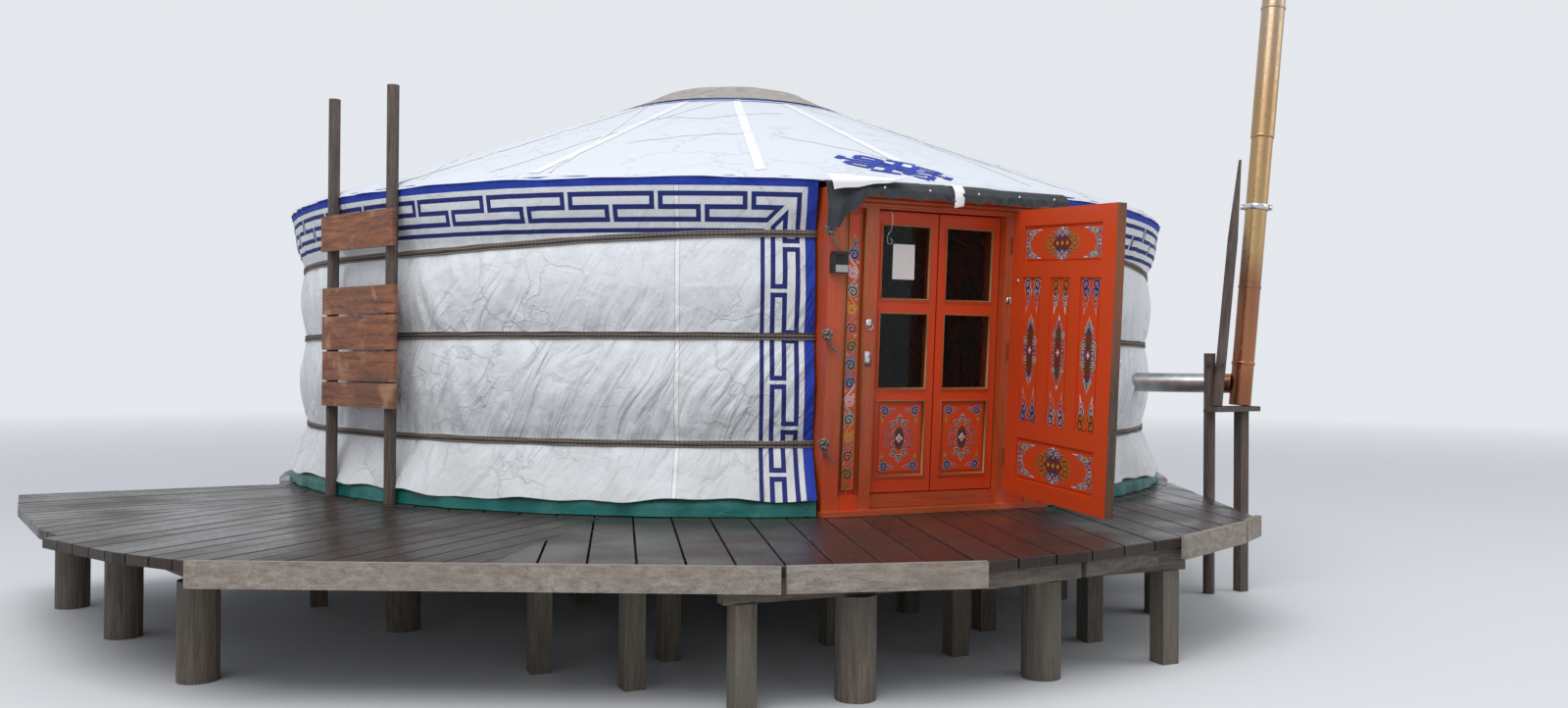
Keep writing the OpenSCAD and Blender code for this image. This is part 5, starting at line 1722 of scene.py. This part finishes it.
bead_profile = [
    (0.0052, 0.0470), (0.0048, 0.0455), (0.0025, 0.0450), (-0.0005, 0.0475), (-0.0035, 0.0530),
    (-0.0040, 0.0640), (0.0005, 0.0640)
]
for side, body in ((-1, "glazed_left"), (1, "glazed_right")):
    heap = Heap()
    x0, x1 = (-OPEN_OUT, -OPEN_IN) if side < 0 else (OPEN_IN, OPEN_OUT)
    for z0, z1 in panes_at:
        frame_strip(heap, x0, x1, z0, z1, bead_profile)
    beads = heap.build("beads_" + body, bead_wood, body, place=on_door)
    art = Ornament()
    middle = np.array([(x0 + x1) / 2, sum(LOWER) / 2])
    lozenge(art, middle, 0.076, 0.118)
    for flip in FLIPS:
        corner(art, middle + np.array([0.090, 0.144]) * flip, 0.0215, flip)
    leaf_face = lambda p: on_door(np.column_stack([p[:, 0], FIELD_Y - p[:, 2], p[:, 1]]))
    painted_leaf = art.build("ornament_" + body, paint_materials, body, place=leaf_face)
    print(body, "ornament:", len(painted_leaf.data.polygons), "faces")

# %% [markdown]
# A sheet of blank paper is fixed inside the left pane and curls at one corner. A hook of thin wire
# hangs beside it.

# %% Paper and wire hook
heap = Heap()
a, b = np.linspace(0, 1, 9), np.linspace(0, 1, 12)
paper_x = -0.262 + 0.128 * a[:, None] + 0 * b[None, :]
paper_y = (
    0.0655 - 0.0025 * np.sin(3 * b)[None, :] * (a[:, None] - 0.3)
    - 0.004 * (a[:, None] * b[None, :]) ** 3
)
paper_z = 1.395 - 0.182 * b[None, :] + 0 * a[:, None]
heap.add(np.stack([paper_x, paper_y, paper_z], -1).reshape(-1, 3), grid_faces(9, 12)[:, ::-1])
notice = heap.build("blank_notice", paper, "glazed_left", place=on_door)
t = np.linspace(0, 1, 30)
hook = np.column_stack(
    [
        -0.300 + 0.012 * np.sin(t * 5), 0.0405 - 0.006 * np.sin(PI * t),
        1.560 - 0.16 * t + 0.012 * np.sin(9 * t)
    ]
)
bend = np.linspace(0, 1.5 * PI, 14)
curl = np.column_stack([0.014 - 0.014 * np.cos(bend), 0 * bend, -0.014 * np.sin(bend)])
hook = np.concatenate([hook, hook[-1] + curl[1:]])
heap = Heap()
points, faces, uv = tube(hook, 0.0016, 6, up=(0, 1, 0))
heap.add(points, faces, 0, uv)
wire = heap.build("wire_hook", bright_steel, "glazed_left", place=on_door)
hook_length = np.linalg.norm(np.diff(hook, axis=0), axis=1).sum()
print("wire hook's length", round(float(hook_length), 3), "m")

# %% [markdown]
# A chain of spirals climbs each side panel. Its spirals turn left and right in turn, and a stem
# joins each to the next.

# %% Chains of spirals
SPIRAL_STEP, SPIRAL_R = 0.0935, 0.0275
for side, label in ((-1, "left"), (1, "right")):
    art = Ornament()
    kinds = [
        ("gold", "green"), ("pink", "brown"), ("gold", "gold"), ("white", "green"),
        ("white", "pink"), ("sky", "navy"), ("sky", "green")
    ]
    for k in range(13):
        z = 0.205 + k * SPIRAL_STEP
        hand = 1 if k % 2 else -1
        edge, fill = kinds[(k + 3 * (side > 0)) % 7]
        t = np.linspace(0, 1, 16)
        stem = np.column_stack([SPIRAL_R * hand * np.cos(PI * t), z + SPIRAL_STEP * t])
        art.ribbon(stem, 0.0105, edge, 0, 0.5)
        art.ribbon(stem, 0.0050, fill, 1, 0.5)
        scroll(art, (0.0, z), (0.0, 0.0), SPIRAL_R, 0.0, edge, fill, (hand, 1), 1.4, 0.005)
        scroll(art, (0.0, z), (-0.022, 0.030), 0.0100, 0.4, edge, fill, (hand, 1), 1.1, 0.004)
        scroll(
            art, (0.0, z), (0.024, 0.058), 0.0085, 2.4, kinds[(k + 4) % 7][0], fill, (hand, 1), 1.1,
            0.004
        )
    for way, z in ((-1, 0.152), (1, 1.392)):
        scroll(art, (0.0, z), (0.0, 0.0), 0.0150, 0.5, "gold", "green", (1, way), 1.2)
        t = np.linspace(0, 1, 10)
        art.ribbon(
            np.column_stack([0.004 * np.sin(5 * t), z + way * (0.014 + 0.030 * t)]), 0.007, "gold",
            0, 0.25
        )
    panel_face = lambda p, sx=side: on_door(
        np.column_stack([sx * 0.511 + p[:, 0], 0.018 - p[:, 2], p[:, 1]])
    )
    column = art.build("ornament_panel_" + label, paint_materials, place=panel_face)
    print(label, "panel's spirals:", len(column.data.polygons), "faces")

# %% [markdown]
# Mitred beads frame each side panel, and thin strips cover the joints with the posts.

# %% Beads of the side panels
def rectangle(x0, x1, y0, y1):
    """A rectangle's corners, counter-clockwise."""
    return [(x0, y0), (x1, y0), (x1, y1), (x0, y1)]


heap = Heap()
strip_profile = [(0.000, 0.0175), (0.000, 0.0140), (-0.003, 0.0125), (-0.006, 0.0140), (-0.006, 0.0175)]
for sx in (-1, 1):
    x0, x1 = sorted((sx * 0.475, sx * 0.547))
    frame_strip(heap, x0, x1, 0.126, 1.534, strip_profile)
for sx in (-1, 1):
    for x, w in ((0.4575, 0.006), (0.5645, 0.006)):
        outline = rectangle(sx * x - w / 2, sx * x + w / 2, -0.004, 0.004)
        points, faces = prism(outline, 0.104, 1.560, 0.001)
        heap.add(points, faces)
panel_beads = heap.build("panel_beads", bead_wood, place=on_door)
print("panel beads:", len(panel_beads.data.polygons), "faces")

# %% [markdown]
# The lintel's front board has three reeds: half circles side by side, pushed along X.

# %% The lintel's reeds
heap = Heap()
reed = []
for k in range(3):
    low = 1.575 + 0.024 * k
    t = np.linspace(0, PI, 8)
    reed += [(-0.0015 - 0.005 * math.sin(q), low + 0.011 - 0.011 * math.cos(q)) for q in t]
reed = [(0.0, 1.574)] + reed + [(0.0, 1.649)]
ends = np.array([-0.655, 0.655])
points = np.array([[(x, y, z) for x in ends] for y, z in reed]).reshape(-1, 3)
heap.add(points, grid_faces(len(reed), 2))
lintel_reeds = heap.build("lintel_reeds", rail_wood, place=on_door)
print("lintel reeds", len(lintel_reeds.data.polygons), "faces")

# %% [markdown]
# The solid leaf has medallions with brackets above and below, and three tall fields with a long
# lozenge and four hanging drops each. Its far edge is bare, weathered wood.

# %% Solid leaf
# Its inner face is at x = 0.402, with fields 6 mm deep. On this face a runs along -y and b is z.
FACE_X, FIELD_X, OUT_X = 0.402, 0.408, 0.452
A_NEAR, A_FAR = 0.040, 0.890
tall = [(0.7846, 0.6282), (0.5432, 0.3868), (0.3018, 0.1454)]
art = Ornament()
wide_middle = (0.7846 + 0.1454) / 2
for z0, z1, high in ((0.184, 0.404, 0.088), (1.321, 1.511, 0.078)):
    z = (z0 + z1) / 2
    medallion(art, (wide_middle, z), 0.135, high)
    for side in (-1, 1):
        bracket(art, (wide_middle - side * 0.312, z), high, side)
schemes = (
    (("white", "green"), ("white", "navy"), ("pink", "brown")),
    (("pink", "brown"), ("pink", "brown"), ("white", "green")),
    (("white", "brown"), ("pink", "navy"), ("gold", "brown"))
)
tassels = (
    (("sky", "navy"), ("pink", "brown")), (("gold", "brown"), ("white", "navy")),
    (("white", "navy"), ("pink", "brown"))
)
for k, (far, near) in enumerate(tall):
    a = (far + near) / 2
    tall_lozenge(art, (a, 0.866), 0.054, 0.180, schemes[k])
    for side in (-1, 1):
        pendant(art, (a + side * 0.038, 1.232), 0.172, 1, side, tassels[k])
        pendant(art, (a + side * 0.038, 0.500), 0.172, -1, side, tassels[(k + 1) % 3])
solid_face = lambda p: on_door(np.column_stack([FIELD_X - p[:, 2], -p[:, 0], p[:, 1]]))
solid_ornament = art.build("ornament_solid_leaf", paint_materials, "outer_door", place=solid_face)
print("solid leaf's ornament:", len(solid_ornament.data.polygons), "faces")

# %% [markdown]
# The paint has worn off the solid leaf's far and upper edges. Two thin slips of grey wood lie on
# them.

# %% Weathered edges
heap = Heap()
far_edge = rectangle(FACE_X, OUT_X, -A_FAR - 0.0012, -A_FAR + 0.0003)
top_edge = rectangle(FACE_X + 0.001, OUT_X - 0.001, -A_FAR, -A_NEAR)
heap.add(*prism(far_edge, 0.1003, 1.5947, 0.0003))
heap.add(*prism(top_edge, 1.5949, 1.5962, 0.0004))
edge_wood = timber(
    "edge_wood", rgb(0.14, 0.095, 0.07), rgb(0.05, 0.033, 0.025), UPRIGHT, 10.0, 0.85, 0.002,
    rgb(0.30, 0.09, 0.03)
)
worn_edges = heap.build("worn_edges", edge_wood, "outer_door", smooth=False, place=on_door)
print("worn edges:", len(worn_edges.data.polygons), "faces")

# %% [markdown]
# Handles, rosettes and lock plates are bright steel. What sits on the frame has to fit in the gap
# behind the shut leaf. What sits on the leaf turns with it.

# %% Turned shapes and rings
def lathe(profile, count=24):
    """A turned shape: the profile gives radius and height along the local z axis."""
    t = np.linspace(0, 2 * PI, count, endpoint=False)
    r, h = np.array(profile, float).T[:, :, None]
    points = np.stack(np.broadcast_arrays(r * np.cos(t), r * np.sin(t), h), -1).reshape(-1, 3)
    return points, grid_faces(len(profile), count, ring=True)


def ring_path(radius, centre, plane):
    """A circle round a centre, in the XZ or the YZ plane."""
    t = np.linspace(0, 2 * PI, 29)
    flat = [radius * np.cos(t), radius * np.sin(t)]
    third = 0 * t
    order = {"xz": (flat[0], third, flat[1]), "yz": (third, flat[0], flat[1])}[plane]
    return np.column_stack(order) + centre


print("a turned band has", len(lathe([(1, 0), (1, 1)])[1]), "faces")

# %% [markdown]
# A lock plate, two rosettes and a pull ring sit on the frame's posts.

# %% Fittings on the frame
# The shut leaf's face comes to 8 mm from the frame, so these fittings are flatter than that
PLATE_HIGH, RING_OUT, RING_WIRE = 0.004, 0.0045, 0.0023
BOSS = [(0.010, 0.0), (0.010, 0.002), (0.007, 0.004), (0.0001, 0.005)]
heap = Heap()
points, faces = prism(rectangle(-0.440, -0.402, 0.765, 0.838), 0.0, PLATE_HIGH, 0.001)
heap.add(np.column_stack([points[:, 0], -points[:, 2], points[:, 1]]), faces)
for x, z in ((-0.421, 0.815), (-0.421, 0.985), (0.421, 1.120)):
    points, faces = lathe([(r * (2.0 if z > 0.9 else 1.0), h) for r, h in BOSS])
    heap.add(
        np.column_stack([points[:, 0] + x, -points[:, 2] - 0.0005, points[:, 1] + z]),
        faces[:, ::-1]
    )
points, faces, uv = tube(ring_path(0.019, (-0.421, -RING_OUT, 0.968), "xz"), RING_WIRE, 8, up=(0, 1, 0))
heap.add(points, faces, 0, uv)
post_fittings = heap.build("post_fittings", bright_steel, place=on_door)
stands_out = max(PLATE_HIGH, 0.0005 + BOSS[-1][1], RING_OUT + RING_WIRE)
print("frame's fittings stand out", round(1000 * stands_out, 1), "mm, the shut leaf comes to 8 mm")

# %% [markdown]
# The leaf has a rosette on its inner face, and a plate, a handle and a ring on its outer one.

# %% Fittings on the leaf
heap = Heap()
points, faces = lathe([(0.011, 0.0), (0.011, 0.003), (0.006, 0.005), (0.0001, 0.005)])
heap.add(
    np.column_stack([FACE_X - 0.0003 - points[:, 2], points[:, 0] - 0.098, points[:, 1] + 1.225]),
    faces
)
points, faces = prism(rectangle(-0.862, -0.826, 0.772, 0.872), 0.0, PLATE_HIGH, 0.001)
plate = np.column_stack([OUT_X + points[:, 2], points[:, 0], points[:, 1]])
heap.add(plate, [f[::-1] for f in faces])
t = np.linspace(0, 1, 22)[:, None]
stem = np.array([[OUT_X + 0.002, -0.844, 0.845]]) + t * [[0.040, 0, 0]]
grip_foot = np.array([[OUT_X + 0.042, -0.844, 0.845]])
grip = grip_foot + t * [[0.004, 0.110, -0.006]] + 0.004 * np.sin(PI * t) * [[1, 0, 0]]
points, faces, uv = tube(np.concatenate([stem, grip[1:]]), 0.0065, 10, up=(0, 0, 1))
heap.add(points, faces, 0, uv)
points, faces, uv = tube(ring_path(0.022, (OUT_X + 0.008, -0.844, 0.948), "yz"), 0.003, 8, up=(1, 0, 0))
heap.add(points, faces, 0, uv)
leaf_fittings = heap.build("leaf_fittings", bright_steel, "outer_door", place=on_door)
print("leaf's fittings:", len(leaf_fittings.data.polygons), "faces")

# %% [markdown]
# The small lamp beside the door has a lens in its lower half. A thin raised plate is enough, since
# the housing is in the CAD model.

# %% Lamp front
heap = Heap()
for outline, high, slot in (
    (rectangle(-0.640, -0.572, 1.236, 1.272), 0.004, 0),
    (rectangle(-0.636, -0.576, 1.280, 1.320), 0.003, 1),
):
    points, faces = prism(outline, 0.0, high, 0.001)
    heap.add(np.column_stack([points[:, 0], -0.0383 - points[:, 2], points[:, 1]]), faces, slot)
lens = plain("lens", rgb(0.45, 0.46, 0.46), 0.2, 0.0, 0.3, 300.0)
lamp_front = heap.build("lamp_front", [lens, iron], smooth=False, place=on_door)
print("lamp front:", len(lamp_front.data.polygons), "faces")

# %% [markdown]
# ## Flue fittings
# Rolled bands cover the joints between the flue's pipes, and one of them is a clamp. All of them
# are drawn round an upright axis first. The flue's own axis starts at the tee and leans towards +X.

# %% Flue
FLUE_AZ, FLUE_R, FLUE_LEAN = math.radians(36.8), 3.632, math.radians(6)
flue_foot = np.array([*polar(FLUE_R, FLUE_AZ), DECK + 0.67])


def on_flue(points):
    """Moves points from the flue's own axis to its place: a lean about Y, then a shift."""
    p = np.asarray(points, float)
    c, s = math.cos(FLUE_LEAN), math.sin(FLUE_LEAN)
    leaned = [p[:, 0] * c + p[:, 2] * s, p[:, 1], -p[:, 0] * s + p[:, 2] * c]
    return np.column_stack(leaned) + flue_foot


def band(heap, low, high, radius, slot):
    """A rolled band with a raised middle and turned edges."""
    middle = [
        (radius + 0.001 + 0.0035 * math.sin(PI * t) ** 0.5, low + (high - low) * t)
        for t in np.linspace(0, 1, 9)
    ]
    profile = [(radius + 0.0008, low)] + middle + [(radius + 0.0008, high)]
    points, faces = lathe(profile, 48)
    heap.add(points, faces, slot)


heap = Heap()
for low, high, radius, slot in (
    (1.058, 1.092, 0.0685, 0), (1.500, 1.524, 0.0640, 1), (0.112, 0.132, 0.0632, 1),
    (2.30, 2.318, 0.0682, 1)
):
    band(heap, low, high, radius, slot)
# The clamp's two ears
for turn in (0.7, PI + 0.7):
    points, faces = prism(rectangle(-0.010, 0.010, 1.060, 1.090), 0.0, 0.020, 0.002)
    x, y, z = points[:, 0], -0.071 - points[:, 2], points[:, 1]
    c, s = math.cos(turn), math.sin(turn)
    heap.add(np.column_stack([x * c - y * s, x * s + y * c, z]), faces)
flue_bands = heap.build("flue_bands", [bright_steel, tinted_steel], place=on_flue)
print("flue bands:", len(flue_bands.data.polygons), "faces")

# %% [markdown]
# The leaning pole is tied to its post with a few turns of wire. Each tie is a helix.

# %% Wire ties of the leaning pole
heap = Heap()


def tie(centre, radius, z, turns, high, squash=1.0):
    """Wire round a pole: a helix that climbs by high, pressed flat along X by squash."""
    t = np.linspace(0, 1, int(26 * turns))
    q = 2 * PI * turns * t
    path = np.column_stack(
        [centre[0] + radius * squash * np.cos(q), centre[1] + radius * np.sin(q), z + high * t]
    )
    points, faces, uv = tube(path, 0.0022, 6)
    heap.add(points, faces, 0, uv)


# As in the CAD model, the stand's side post is against the terrace's right edge
edge_from, edge_to = np.array(polar(4.030, 21 * DEGREE)), np.array(polar(3.156, 46 * DEGREE))
edge_way = (edge_to - edge_from) / np.linalg.norm(edge_to - edge_from)
edge_normal = np.array([edge_way[1], -edge_way[0]])
side_post = edge_from + 0.56 * (edge_to - edge_from) + edge_normal * 0.0333
tie((side_post[0] + 0.006, side_post[1] - 0.030), 0.070, 1.345, 2.6, 0.03, 0.55)
tie((side_post[0], side_post[1]), 0.0355, 1.08, 2.2, 0.02)
wire_ties = heap.build("wire_ties", iron)
print("wire ties:", len(wire_ties.data.polygons), "faces")
